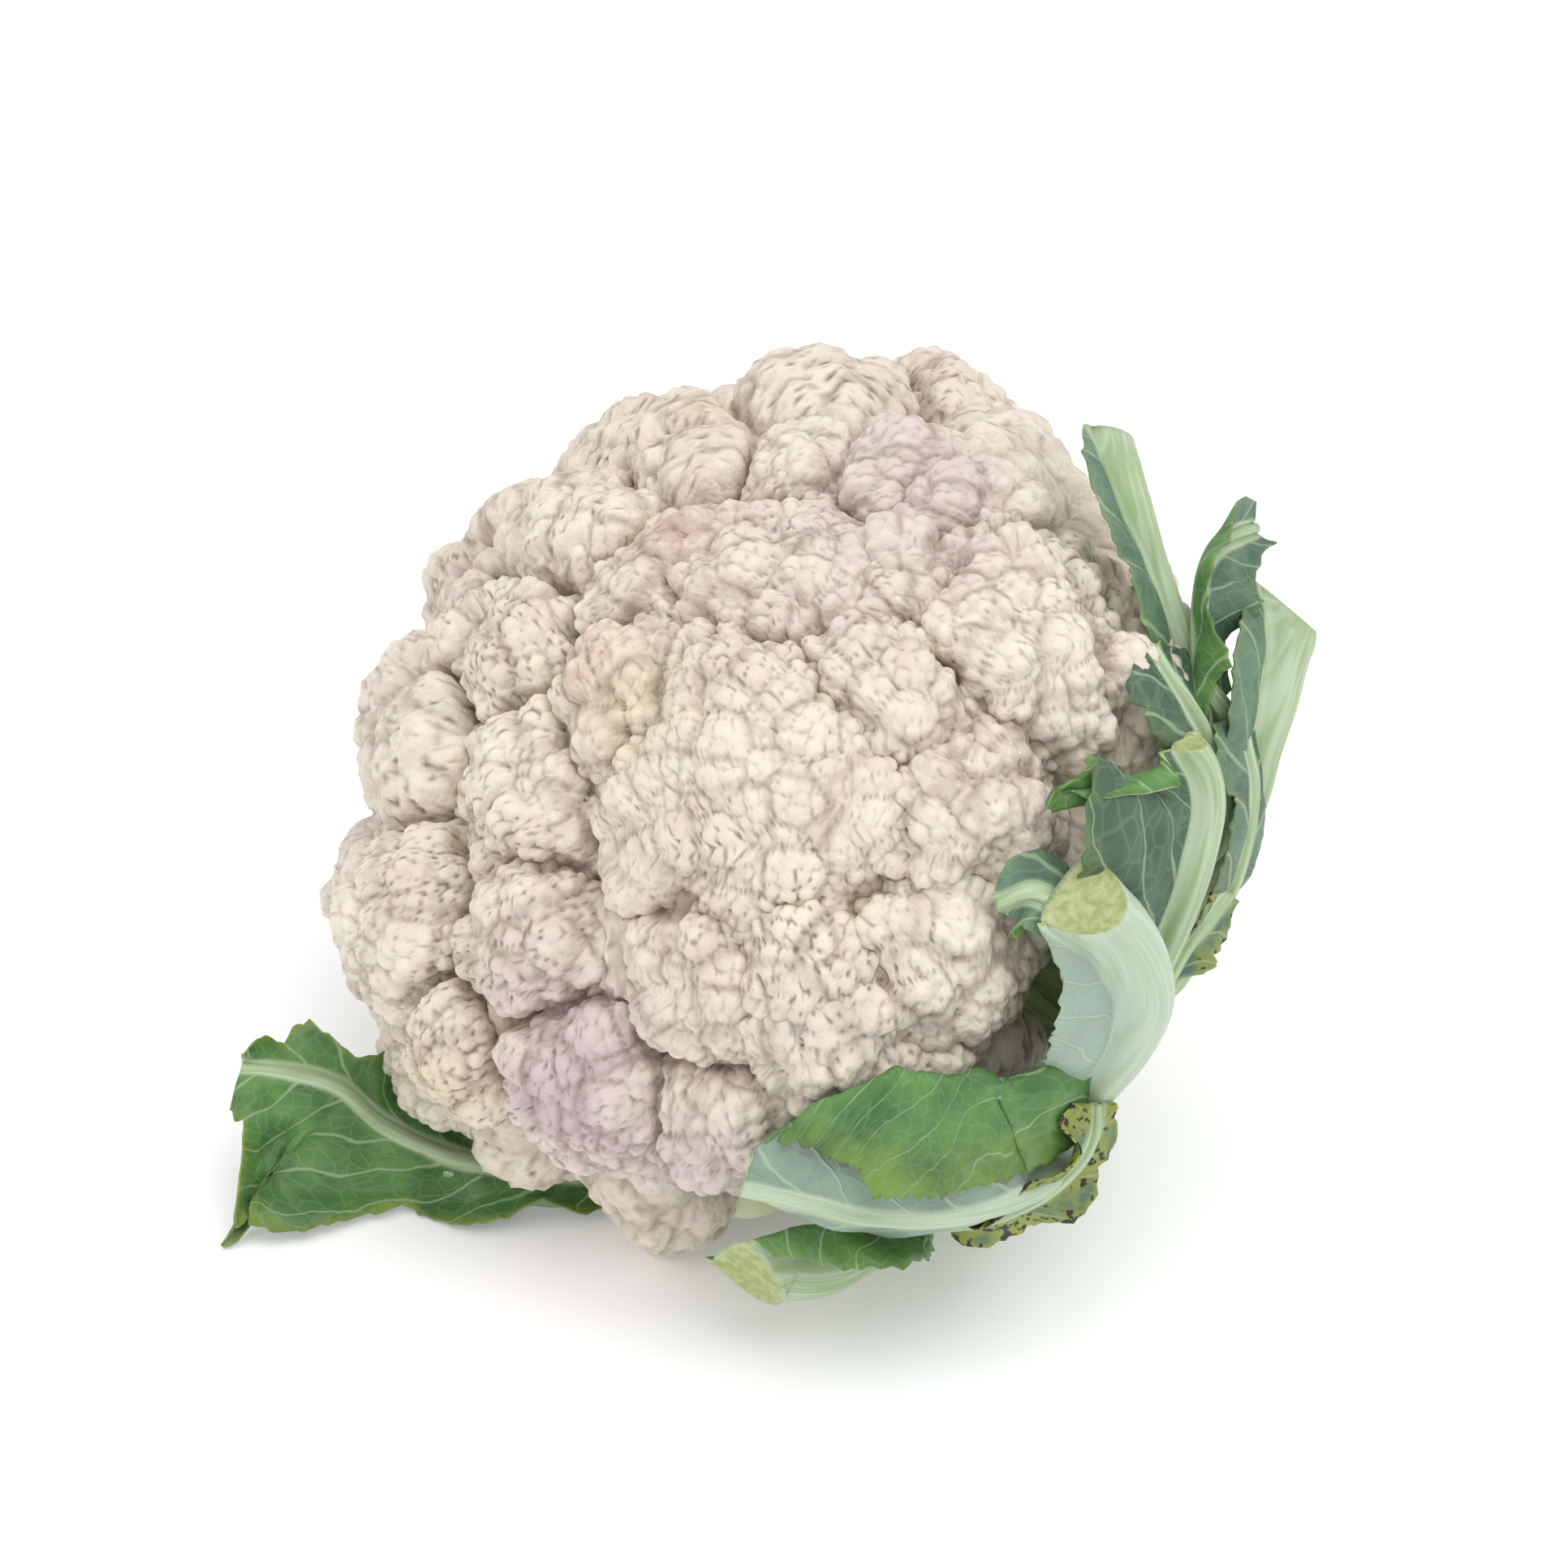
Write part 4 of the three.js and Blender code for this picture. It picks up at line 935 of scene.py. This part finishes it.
LEAVES = {
    "leaf_lower_left": {
        "path": [(18, -54, -66), (42, -40, -76), (62, -24, -84), (80, -8, -88), (90, 4, -96),
                 (95, 15, -102), (95, 26, -105), (99, 34, -107), (105, 40, -109)],
        "rib_width": [9, 9, 8, 8, 6, 4.5, 3.5, 2.5, 2],
        "rib_depth": [8, 8, 7, 7, 5, 4, 3, 2, 1],
        "left": side_blade([1, 1, 1, 4, 12, 14, 9, 8, 2], leave=-55, turn=-10, slant=0.25),
        "right": side_blade([1, 1, 2, 8, 16, 27, 37, 31, 9], leave=70, turn=-25, over=(0.3, 1),
                            slant=0.16),
        "gap": -30, "wave": (3, 4), "lobes": (0.45, 7), "grid": (120, 32), "crumple": 2.2, "age": 0.4,
    },
    "leaf_lower_front": {
        "path": [(18, -58, -34), (44, -50, -38), (66, -36, -41), (80, -22, -42), (88, -11, -43),
                 (92, -3, -45), (95, 5, -47)],
        "rib_width": [12, 12, 12, 12, 12, 12, 12],
        "rib_depth": [8, 8, 8, 8, 8, 8, 9],
        "left": side_blade([1, 1, 1, 1, 2, 3, 2], leave=-30, turn=0),
        "right": side_blade([1, 1, 2, 12, 22, 19, 5], leave=-30, turn=95, over=(0.1, 0.6), slant=-0.1),
        "gap": 0.5, "wave": (1.0, 2), "lobes": (0.1, 3), "cut": (0.8, 0, 0.84), "dark": 0.5,
    },
    "leaf_small_right": {
        "path": [(18, -46, 20), (50, -42, 22), (80, -22, 26), (94, -5, 30), (96, 2, 33), (96, 9, 35),
                 (95, 14, 37), (94, 18, 39)],
        "rib_width": [8, 7, 6, 3, 2.5, 2, 2, 1.5],
        "rib_depth": [5, 5, 3, 1.5, 1.5, 1.5, 1, 1],
        "left": side_blade([1, 1, 1, 3, 6, 10, 9, 4], leave=0, turn=-20, slant=0.2),
        "right": side_blade([1, 1, 1, 2, 4, 8, 7, 2], leave=0, turn=-20, slant=0.2),
        "gap": 4, "wave": (1, 2), "lobes": (0.2, 4), "crumple": 1.2, "dark": 0.9,
    },
    "leaf_small_front": {
        "path": [(18, -46, -8), (50, -40, -6), (80, -16, 0), (94, 8, 6), (93, 18, 8), (90, 23, 8),
                 (87, 26, 5)],
        "rib_width": [7, 6, 4, 3, 2.5, 2, 1.5],
        "rib_depth": [5, 4, 2, 1.5, 1.5, 1, 1],
        "left": side_blade([1, 1, 1, 2, 5, 7, 1], leave=0, turn=-20, slant=0.3),
        "right": side_blade([1, 1, 1, 2, 5, 6, 1], leave=0, turn=-20, slant=0.3),
        "gap": 2, "wave": (0.5, 2), "lobes": (0.2, 3), "dark": 0.3,
    },
    "leaf_far_right": {
        "path": [(18, -44, 38), (50, -42, 36), (76, -24, 36), (90, 0, 38), (92, 6, 42), (93, 13, 46),
                 (93, 17, 50), (93, 21, 54), (93, 24, 59), (92, 18, 70)],
        "rib_width": [9, 9, 8, 6, 4, 3.5, 4, 5.5, 7, 8.5],
        "rib_depth": [6, 6, 6, 5, 3, 3, 3, 4, 5, 5],
        "left": side_blade([1, 1, 1, 2, 4, 8, 9, 8, 5, 1], leave=15, turn=-30, slant=-0.1),
        "right": side_blade([1, 1, 1, 2, 2, 3, 3, 3, 2, 1], leave=-20, turn=-20),
        "gap": 0.5, "wave": (0.8, 2), "lobes": (0.08, 3), "cut": (1.1, -0.3, 0.86), "dark": 0.2,
    },
    "leaf_far_right_inner": {
        "path": [(18, -54, 38), (50, -46, 36), (78, -22, 34), (92, 1, 35), (95, 6, 40), (98, 11, 45),
                 (100, 11, 50), (102, 7, 54), (104, -4, 59)],
        "rib_width": [8, 8, 7, 4, 3, 2.5, 2, 2, 2],
        "rib_depth": [6, 5, 4, 2, 2, 2, 1.5, 1, 1],
        "left": side_blade([1, 1, 1, 3, 8, 9, 7, 6, 4], leave=45, turn=20, slant=0.1),
        "right": side_blade([1, 1, 1, 3, 8, 11, 11, 8, 4], leave=10, turn=30, slant=0.1),
        "gap": 1.5, "wave": (2, 3), "lobes": (0.25, 5), "crumple": 1.6, "dark": 0.3,
    },
    "leaf_right_thick": {
        "path": [(18, -50, -34), (46, -47, -30), (70, -38, -24), (84, -22, -12), (92, -14, -4),
                 (96, -9, 1), (99, -1, 6), (99, 10, 9), (95, 21, 10)],
        "rib_width": [12, 12, 10, 8, 6, 7, 9.5, 11.5, 14],
        "rib_depth": [8, 8, 7, 6, 5, 6, 8, 9, 10],
        "left": side_blade([1, 1, 1, 2, 8, 13, 13, 7, 1], leave=0, turn=-35, slant=-0.1),
        "right": side_blade([1, 1, 1, 1, 1, 1, 1, 1, 1], leave=-40, turn=-20),
        "gap": 0.5, "wave": (0.8, 2), "lobes": (0.06, 3), "cut": (0.7, 0, 0.88), "crumple": 0.5,
        "pale": 1,
    },
    "leaf_right_curled": {
        "path": [(18, -50, -2), (48, -44, 2), (68, -30, 2), (84, -17, 6), (91, -10, 12), (95, -5, 16),
                 (98, -1, 20), (99, 2, 25), (99, 6, 28), (98, 11, 30)],
        "rib_width": [10, 10, 9, 7, 6, 6, 6, 6, 6, 5.5],
        "rib_depth": [7, 7, 6, 5, 4, 4, 4, 4, 4, 4],
        "left": side_blade([1, 1, 1, 8, 16, 22, 25, 27, 28, 26], leave=-5, turn=-30, slant=0.3,
                           roll=(0.95, 2.6)),
        "right": side_blade([1, 1, 1, 1, 1, 1, 1, 1, 1, 1], leave=0, turn=-20),
        "gap": 1, "wave": (1.5, 2), "lobes": (0.1, 4), "grid": (80, 28), "cut": (0.5, 0, 0.94),
        "crumple": 1.4, "dark": 0.8,
    },
    "leaf_right_broad": {
        "path": [(18, -60, 6), (48, -50, 8), (76, -31, 11), (86, -24, 18), (92, -20, 22), (95, -17, 26),
                 (97, -13, 31), (98, -8, 34), (98, -4, 37)],
        "rib_width": [8, 8, 7, 4, 3, 2, 2, 2, 2],
        "rib_depth": [6, 5, 4, 2, 1.5, 1, 1, 1, 1],
        "left": side_blade([1, 1, 1, 3, 5, 7, 8, 9, 8], leave=0, turn=-15, slant=0.1),
        "right": side_blade([1, 1, 1, 2, 3, 4, 5, 5, 4], leave=20, turn=-15, slant=0.1),
        "gap": 1, "wave": (0.6, 2), "lobes": (0.08, 3), "dark": 0.3,
    },
    "leaf_right_tall": {
        "path": [(18, -66, 10), (46, -52, 14), (72, -32, 20), (84, -22, 26), (91, -17, 32),
                 (96, -12, 36), (99, -10, 41), (101, -9, 47), (101, -10, 54)],
        "rib_width": [10, 10, 8, 6, 5, 5, 6.5, 8.5, 10.5],
        "rib_depth": [8, 8, 6, 5, 5, 5, 6, 7, 8],
        "left": side_blade([1, 1, 1, 1, 4, 10, 12, 7, 1], leave=0, turn=-20, slant=0.1),
        "right": side_blade([1, 1, 1, 1, 1, 1, 2, 2, 1], leave=-20, turn=-40),
        "gap": 1, "wave": (0.6, 2), "lobes": (0.08, 3), "cut": (1.5, -0.6, 0.8),
    },
    "leaf_right_yellowed": {
        "path": [(18, -62, -8), (48, -50, -4), (70, -34, 0), (82, -22, 4), (89, -17, 9), (92, -15, 13),
                 (93, -16, 16), (93, -19, 21)],
        "rib_width": [8, 7, 6, 4, 3, 2, 2, 1.5],
        "rib_depth": [5, 5, 4, 2, 2, 1.5, 1, 1],
        "left": side_blade([1, 1, 1, 1, 2, 3, 3, 2], leave=0, turn=-10, slant=0.2),
        "right": side_blade([1, 1, 1, 1, 4, 6, 5, 2], leave=55, turn=-20, slant=0.2),
        "gap": 1, "wave": (1, 3), "lobes": (0.25, 5), "crumple": 1.4, "age": 1.0,
    },
    "leaf_lower_folded": {
        "path": [(18, -63, -14), (46, -52, -10), (74, -36, -10), (95, -19, -14), (99, -14, -18),
                 (101, -8, -22), (101, -1, -26), (100, 8, -30), (98, 16, -33), (96, 25, -37)],
        "rib_width": [10, 10, 9, 6, 4, 3, 2, 2, 2, 2],
        "rib_depth": [7, 7, 5, 3, 2, 1, 1, 1, 1, 1],
        "left": side_blade([1, 1, 1, 2, 3, 6, 9, 9, 6, 1], leave=-5, turn=-45, slant=0.2),
        "right": side_blade([1, 1, 1, 34, 46, 52, 54, 54, 34, 9], leave=-30, turn=180,
                            over=([0.5, 0.5, 0.5, 0.5, 0.5, 0.5, 0.5, 0.5, 0.58, 0.8],
                            [0.62, 0.62, 0.62, 0.62, 0.62, 0.62, 0.62, 0.63, 0.72, 1.0])),
        "gap": 2, "wave": (1, 2), "lobes": (0.08, 4), "grid": (110, 46), "crumple": 1.2, "age": 0.28,
        "pale": 0.6,
    },
    "leaf_lower_yellowed": {
        "path": [(16, -67, -32), (46, -56, -32), (76, -34, -31), (92, -14, -28), (96, -15, -24),
                 (98, -17, -20), (99, -18, -16), (99, -18, -12), (98, -17, -9), (96, -14, -6)],
        "rib_width": [9, 9, 7, 4, 3, 2, 1.5, 1.5, 1.5, 1.5],
        "rib_depth": [7, 6, 4, 2, 1.5, 1, 1, 1, 1, 1],
        "left": side_blade([1, 1, 1, 1, 3, 5, 6, 8, 9, 6], leave=5, turn=10, slant=0.1),
        "right": side_blade([1, 1, 1, 1, 6, 7, 7, 5, 5, 3], leave=20, turn=20, slant=0.1),
        "gap": 1.5, "wave": (2, 3), "lobes": (0.25, 5), "crumple": 1.6, "age": 1.0,
    },
    "leaf_back_right": {
        "path": [(18, -60, 104), (48, -57, 106), (70, -48, 108), (81, -33, 109)],
        "rib_width": [11, 12, 13, 14],
        "rib_depth": [8, 9, 9, 9],
        "left": side_blade([1, 2, 7, 8], leave=-15, turn=-20),
        "right": side_blade([1, 2, 10, 12], leave=-15, turn=-20),
        "gap": 2, "wave": (1, 2), "lobes": (0.12, 3), "grid": (36, 12), "cut": (0.5, 0, 0.8),
    },
    "leaf_back_top": {
        "path": [(18, -54, 126), (50, -50, 126), (77, -36, 125), (89, -16, 124)],
        "rib_width": [10, 11, 12, 13],
        "rib_depth": [7, 8, 8, 8],
        "left": side_blade([1, 3, 12, 16], leave=-15, turn=-25),
        "right": side_blade([1, 3, 12, 14], leave=-15, turn=-25),
        "gap": 2, "wave": (1.2, 2), "lobes": (0.12, 3), "grid": (36, 12), "cut": (0.5, 0, 0.8),
    },
    "leaf_back_left": {
        "path": [(18, -50, 164), (50, -48, 165), (80, -34, 165), (95, -12, 164), (97, 6, 162)],
        "rib_width": [10, 10, 10, 10, 9],
        "rib_depth": [7, 7, 7, 7, 6],
        "left": side_blade([1, 2, 12, 20, 16], leave=-10, turn=-25),
        "right": side_blade([1, 2, 12, 18, 14], leave=-10, turn=-25),
        "gap": 2, "wave": (1.5, 2), "lobes": (0.14, 4), "grid": (40, 12), "cut": (0.5, 0, 0.8),
    },
    "leaf_back_low": {
        "path": [(18, -60, -158), (44, -57, -158), (66, -51, -159), (86, -30, -160), (95, -8, -162)],
        "rib_width": [11, 12, 13, 13, 12],
        "rib_depth": [8, 9, 9, 9, 9],
        "left": side_blade([1, 2, 8, 16, 14], leave=-15, turn=-25),
        "right": side_blade([1, 2, 8, 16, 14], leave=-15, turn=-25),
        "gap": 3, "wave": (1, 2), "lobes": (0.12, 3), "grid": (40, 12), "cut": (0.5, 0, 0.8),
    },
}

# %% [markdown]
# ### The leaf surface
#
# Rows run along the line and columns across the blades. Each point is pushed clear of the florets and of
# the floor, then the sheet is given two faces: the rib swells mostly outwards, the blade is quilted
# between its side veins, and the margin thins out and is toothed. A knife has cut most ends aslant.

# %% Leaf surfaces
BLADE_THICKNESS = 0.75
MARGIN_THICKNESS = 0.35
RIB_INNER_SHARE = 0.14
FLOOR_GAP = 0.3
FLOOR_SOFTNESS = 4.0
OUTWARD_FROM_UP = 20.0
NARROWEST_BLADE = 0.6
WAVE_GROWTH = 1.5
BEND_STEPS = 48
HEADING_STEP = 0.01
RIB_COLUMNS = 13
PUFF = 0.5
TOOTH_LENGTH = 2.7
TOOTH_DEPTH = 1.5
CRUMPLE_LENGTHS = (31.0, 19.0, 12.0, 8.0)
CAP_ROWS = 7
CAP_HOLLOW = 1.2
RIB_FADE = 1.3
NEAR_GRID = (58, 14)
PLAIN_CUT = (0, 0, 0.8)
PLAIN_CRUMPLE = 0.8
PLAIN_AGE = 0.15
LOBE_UNEVEN = 0.03
LOBE_UNEVEN_WAVES = 2.3
LOBE_SHIFT = 0.4
TOOTH_SHIFT = 0.37
TOOTH_LEAST = 0.3
TOOTH_AT_MARGIN = 9
FULL_TEETH_FROM = 8
FULL_CRUMPLE_FROM = 10
FREE_OF_RIB = 0.3
QUILT_ROUNDNESS = 0.7
ROLL_STARTS = 0.05
ROLL_FULL = 0.35
THICK_END = 10


def through(points, s):
    """A smooth line through evenly spaced points, at shares s of its length (a Catmull-Rom spline)."""
    points = np.asarray(points, float)
    points = points[:, None] if points.ndim == 1 else points
    padded = np.concatenate([[2 * points[0] - points[1]], points, [2 * points[-1] - points[-2]]])
    last = len(points) - 1
    k = np.clip(np.floor(s * last).astype(int), 0, last - 1)
    f = (s * last - k)[:, None]
    a, b, c, d = (padded[k + i] for i in range(4))
    return 0.5 * (
        2 * b + (c - a) * f + (2 * a - 5 * b + 4 * c - d) * f ** 2 + (3 * b - a - 3 * c + d) * f ** 3
    )


def along(values, s):
    """A width or depth along a leaf, never thinner than a blade can be."""
    return np.maximum(NARROWEST_BLADE, through(values, s)[:, 0])


def smooth(start, end, x):
    """0 before start, 1 after end, and t^2 (3 - 2 t) between them."""
    t = np.clip((x - start) / (end - start), 0, 1)
    return t * t * (3 - 2 * t)


def bend(blade, share, s):
    """Across and outward places on a blade of width 1 that turns as it leaves the rib, and its heading. The
    places are the heading's cosine and sine, summed from the rib to each share. Where the blade turns may
    change along the leaf."""
    marks = [np.interp(s, np.linspace(0, 1, np.size(v)), np.atleast_1d(v)) for v in blade["over"]]
    start, end = (mark[:, None, None] for mark in marks)

    def heading(u):
        return np.radians(blade["leave"] + blade["turn"] * smooth(start, end, u))

    steps = heading(share[:, None] * (np.arange(BEND_STEPS) + 0.5) / BEND_STEPS)
    at_share = heading(share[:, None])[..., 0]
    return share * np.cos(steps).mean(axis=-1), share * np.sin(steps).mean(axis=-1), at_share


def crumples(length, distance, seed):
    """Uneven rise and fall from -1 to 1 over a blade: the mean of sines of four lengths, each in its own
    direction."""
    total = 0
    for i, wave in enumerate(CRUMPLE_LENGTHS):
        angle = 2 * math.pi * chance(seed * 17 + i)
        run = length * math.cos(angle) + distance * math.sin(angle)
        total = total + np.sin(2 * math.pi * (run / wave + chance(seed * 29 + i)))
    return total / len(CRUMPLE_LENGTHS)


def bent_clear(points, gap):
    """Points pushed out to the florets' ellipsoid plus a gap, and up off the floor, softly."""
    h = to_head(points)
    distance = np.linalg.norm(h, axis=-1)
    reach = head_reach(unit(h)) + gap
    points = to_world(h * np.maximum(1, reach / distance)[..., None])
    soft = FLOOR_GAP + FLOOR_SOFTNESS
    low = FLOOR_GAP + FLOOR_SOFTNESS * np.exp(np.minimum(points[..., 2] - soft, 0) / FLOOR_SOFTNESS)
    points[..., 2] = np.where(points[..., 2] < soft, low, points[..., 2])
    return points


def leaf_line(leaf, s):
    """The middle of the rib at shares s, and its directions along, outward and across."""
    out, up, azimuth = np.array(leaf["path"], float).T
    azimuth = np.radians(azimuth)
    knots = to_world(np.stack([out * np.cos(azimuth), out * np.sin(azimuth), up], axis=-1))
    line = through(knots, s)
    ahead = through(knots, np.minimum(s + HEADING_STEP, 1))
    tangent = unit(ahead - through(knots, np.maximum(s - HEADING_STEP, 0)))
    outward = line - (HEAD_CENTRE + OUTWARD_FROM_UP * UP)
    outward = unit(outward - (outward * tangent).sum(axis=1, keepdims=True) * tangent)
    return line, tangent, outward, np.cross(tangent, outward)


def leaf_sheet(leaf, rows, blade_columns, seed):
    """The leaf's middle on a grid, and at each point the rib's rise, the share of the blade's width, the
    length along the rib, the signed distance across and how much of it is rib."""
    s = np.linspace(0, 1, rows)
    line, tangent, outward, across = leaf_line(leaf, s)
    length = np.concatenate([[0], np.cumsum(np.linalg.norm(np.diff(line, axis=0), axis=1))])[:, None]

    blade_share = np.linspace(0, 1, blade_columns + 1)[1:]
    rib_x = np.sin(np.linspace(-math.pi / 2, math.pi / 2, RIB_COLUMNS))
    side = np.concatenate([-np.ones(blade_columns), np.where(rib_x < 0, -1, 1), np.ones(blade_columns)])
    share = np.concatenate([blade_share[::-1], np.zeros(RIB_COLUMNS), blade_share])
    x = np.concatenate([-np.ones(blade_columns), rib_x, np.ones(blade_columns)])

    half = along(leaf["rib_width"], s)[:, None] / 2
    depth = along(leaf["rib_depth"], s)[:, None]
    lobe_depth, lobe_count = leaf["lobes"]
    slant = np.zeros(len(share))
    width, over, rise, heading = (np.zeros((rows, len(share))) for _ in range(4))
    for sign, key in ((-1, "left"), (1, "right")):
        blade = leaf[key]
        here = side == sign
        swing = s + LOBE_UNEVEN * np.sin(2 * math.pi * LOBE_UNEVEN_WAVES * s + seed + sign)
        lobe = 1 - lobe_depth * (1 - np.abs(np.sin(math.pi * lobe_count * swing + LOBE_SHIFT * sign)))
        width[:, here] = (along(blade["width"], s) * lobe)[:, None]
        over[:, here], rise[:, here], heading[:, here] = bend(blade, share[here], s)
        slant[here] = blade["slant"]

    tooth = length / TOOTH_LENGTH + seed + side * TOOTH_SHIFT
    teeth = TOOTH_DEPTH * (TOOTH_LEAST + chance(np.floor(tooth) + 7 * seed)) * (tooth - np.floor(tooth))
    teeth = teeth * share ** TOOTH_AT_MARGIN * np.minimum(width / FULL_TEETH_FROM, 1)
    distance = width * share
    wave_height, wave_count = leaf["wave"]
    lift = wave_height * share ** WAVE_GROWTH * np.sin(2 * math.pi * wave_count * s[:, None] + side)
    phase = (length - VEIN_SLANT * distance) / VEIN_SPACING
    free = smooth(0, FREE_OF_RIB, share) * np.minimum(width / FULL_CRUMPLE_FROM, 1)
    lift = lift + PUFF * (np.abs(np.sin(math.pi * phase)) ** QUILT_ROUNDNESS - 0.5) * free
    lift = lift + leaf.get("crumple", PLAIN_CRUMPLE) * crumples(length, side * distance, seed) * free
    outward_by = width * rise + np.cos(heading) * lift + np.sin(heading) * teeth
    across_by = side * (width * over + np.cos(heading) * teeth - np.sin(heading) * lift) + x * half
    along_by = slant * distance
    for sign, key in ((-1, "left"), (1, "right")):
        if leaf[key]["roll"]:
            start, tight = leaf[key]["roll"]
            here = (side == sign) & (share > 0)
            rolled = smooth(ROLL_STARTS, ROLL_FULL, share[here])
            past = np.maximum(0, s - start)[:, None] * length[-1, 0] * rolled
            along_by[:, here] += tight * np.sin(past / tight) - past
            outward_by[:, here] += tight * (1 - np.cos(past / tight))
    points = (
        line[:, None] + across[:, None] * across_by[..., None] + outward[:, None] * outward_by[..., None]
        + tangent[:, None] * along_by[..., None]
    )
    swell = np.where(share > 0, 0, depth * np.sqrt(np.maximum(0, 1 - x * x)))
    rib = np.where(share > 0, np.exp(-(distance / RIB_FADE) ** 2), 1.0)
    return bent_clear(points, leaf["gap"]), swell, share, length[:, 0], side * distance + x * half, rib


def leaf_skin(leaf, seed):
    """A closed skin round a leaf's sheet: one loop of points for each row, over the outer face and back
    under the inner one, drawn together at the root and filled in at the end."""
    rows, blade_columns = leaf.get("grid", NEAR_GRID)
    sheet, swell, share, length, signed, rib = leaf_sheet(leaf, rows, blade_columns, seed)
    normal = unit(np.cross(np.gradient(sheet, axis=1), np.gradient(sheet, axis=0)))
    half = (BLADE_THICKNESS - (BLADE_THICKNESS - MARGIN_THICKNESS) * share ** 3) / 2
    outer = sheet + normal * (half + swell)[..., None]
    inner = sheet - normal * (half + RIB_INNER_SHARE * swell)[..., None]
    loop = np.concatenate([outer, inner[:, ::-1]], axis=1)

    # A cut aslant: the end is pulled back in step with how far out and across a point is
    back_outward, back_across, start = leaf.get("cut", PLAIN_CUT)
    s = np.linspace(0, 1, rows)
    line, tangent, outward, across = leaf_line(leaf, s)
    off = loop - line[:, None]
    back = back_outward * (off @ outward[-1]) + back_across * (off @ across[-1])
    loop = loop - (smooth(start, 1, s)[:, None] * back)[..., None] * tangent[-1]

    last = loop[-1]
    middle = (last + last[::-1]) / 2
    thick = np.linalg.norm(last - last[::-1], axis=-1)[:, None]
    closing = np.linspace(1, 0, CAP_ROWS + 1)[1:, None, None]
    hollow = CAP_HOLLOW * np.minimum(thick / THICK_END, 1) * (1 - closing ** 2)
    cap = middle + (last - middle) * closing - tangent[-1] * hollow
    root = (loop[0] + loop[0][::-1]) / 2
    grid = np.concatenate([root[None], loop, cap])

    all_rows, count = grid.shape[:2]
    quads = quads_between(closed_round(all_rows, count))
    points = grid.reshape(-1, 3)
    points[:, 2] = np.maximum(points[:, 2], FLOOR_CLEAR)

    row_of = np.clip(np.arange(all_rows) - 1, 0, rows - 1)
    loop_share = np.concatenate([share, share[::-1]])
    both = [np.concatenate([values, values[:, ::-1]], axis=1)[row_of] for values in (signed, rib)]
    attributes = {
        "inner": np.tile(np.repeat([0.0, 1.0], len(share)), all_rows),
        "rib": both[1].ravel(),
        "cut": np.repeat(np.concatenate([np.zeros(rows + 1), np.ones(CAP_ROWS)]), count),
        "margin": np.tile(loop_share, all_rows),
        "age": np.full(all_rows * count, leaf.get("age", PLAIN_AGE)),
        "dark": np.full(all_rows * count, leaf.get("dark", 0.0)),
        "pale": np.full(all_rows * count, leaf.get("pale", 0.0)),
    }
    uv = np.stack([np.broadcast_to(length[row_of][:, None], (all_rows, count)), both[0]], axis=-1)
    return points, quads, attributes, uv.reshape(-1, 2) / UV_LENGTH


# %% Make the leaves
for number, (name, leaf) in enumerate(LEAVES.items()):
    points, quads, attributes, uv = leaf_skin(leaf, number)
    make_piece(name, points, [quads], leaf_material, name, attributes, uv)
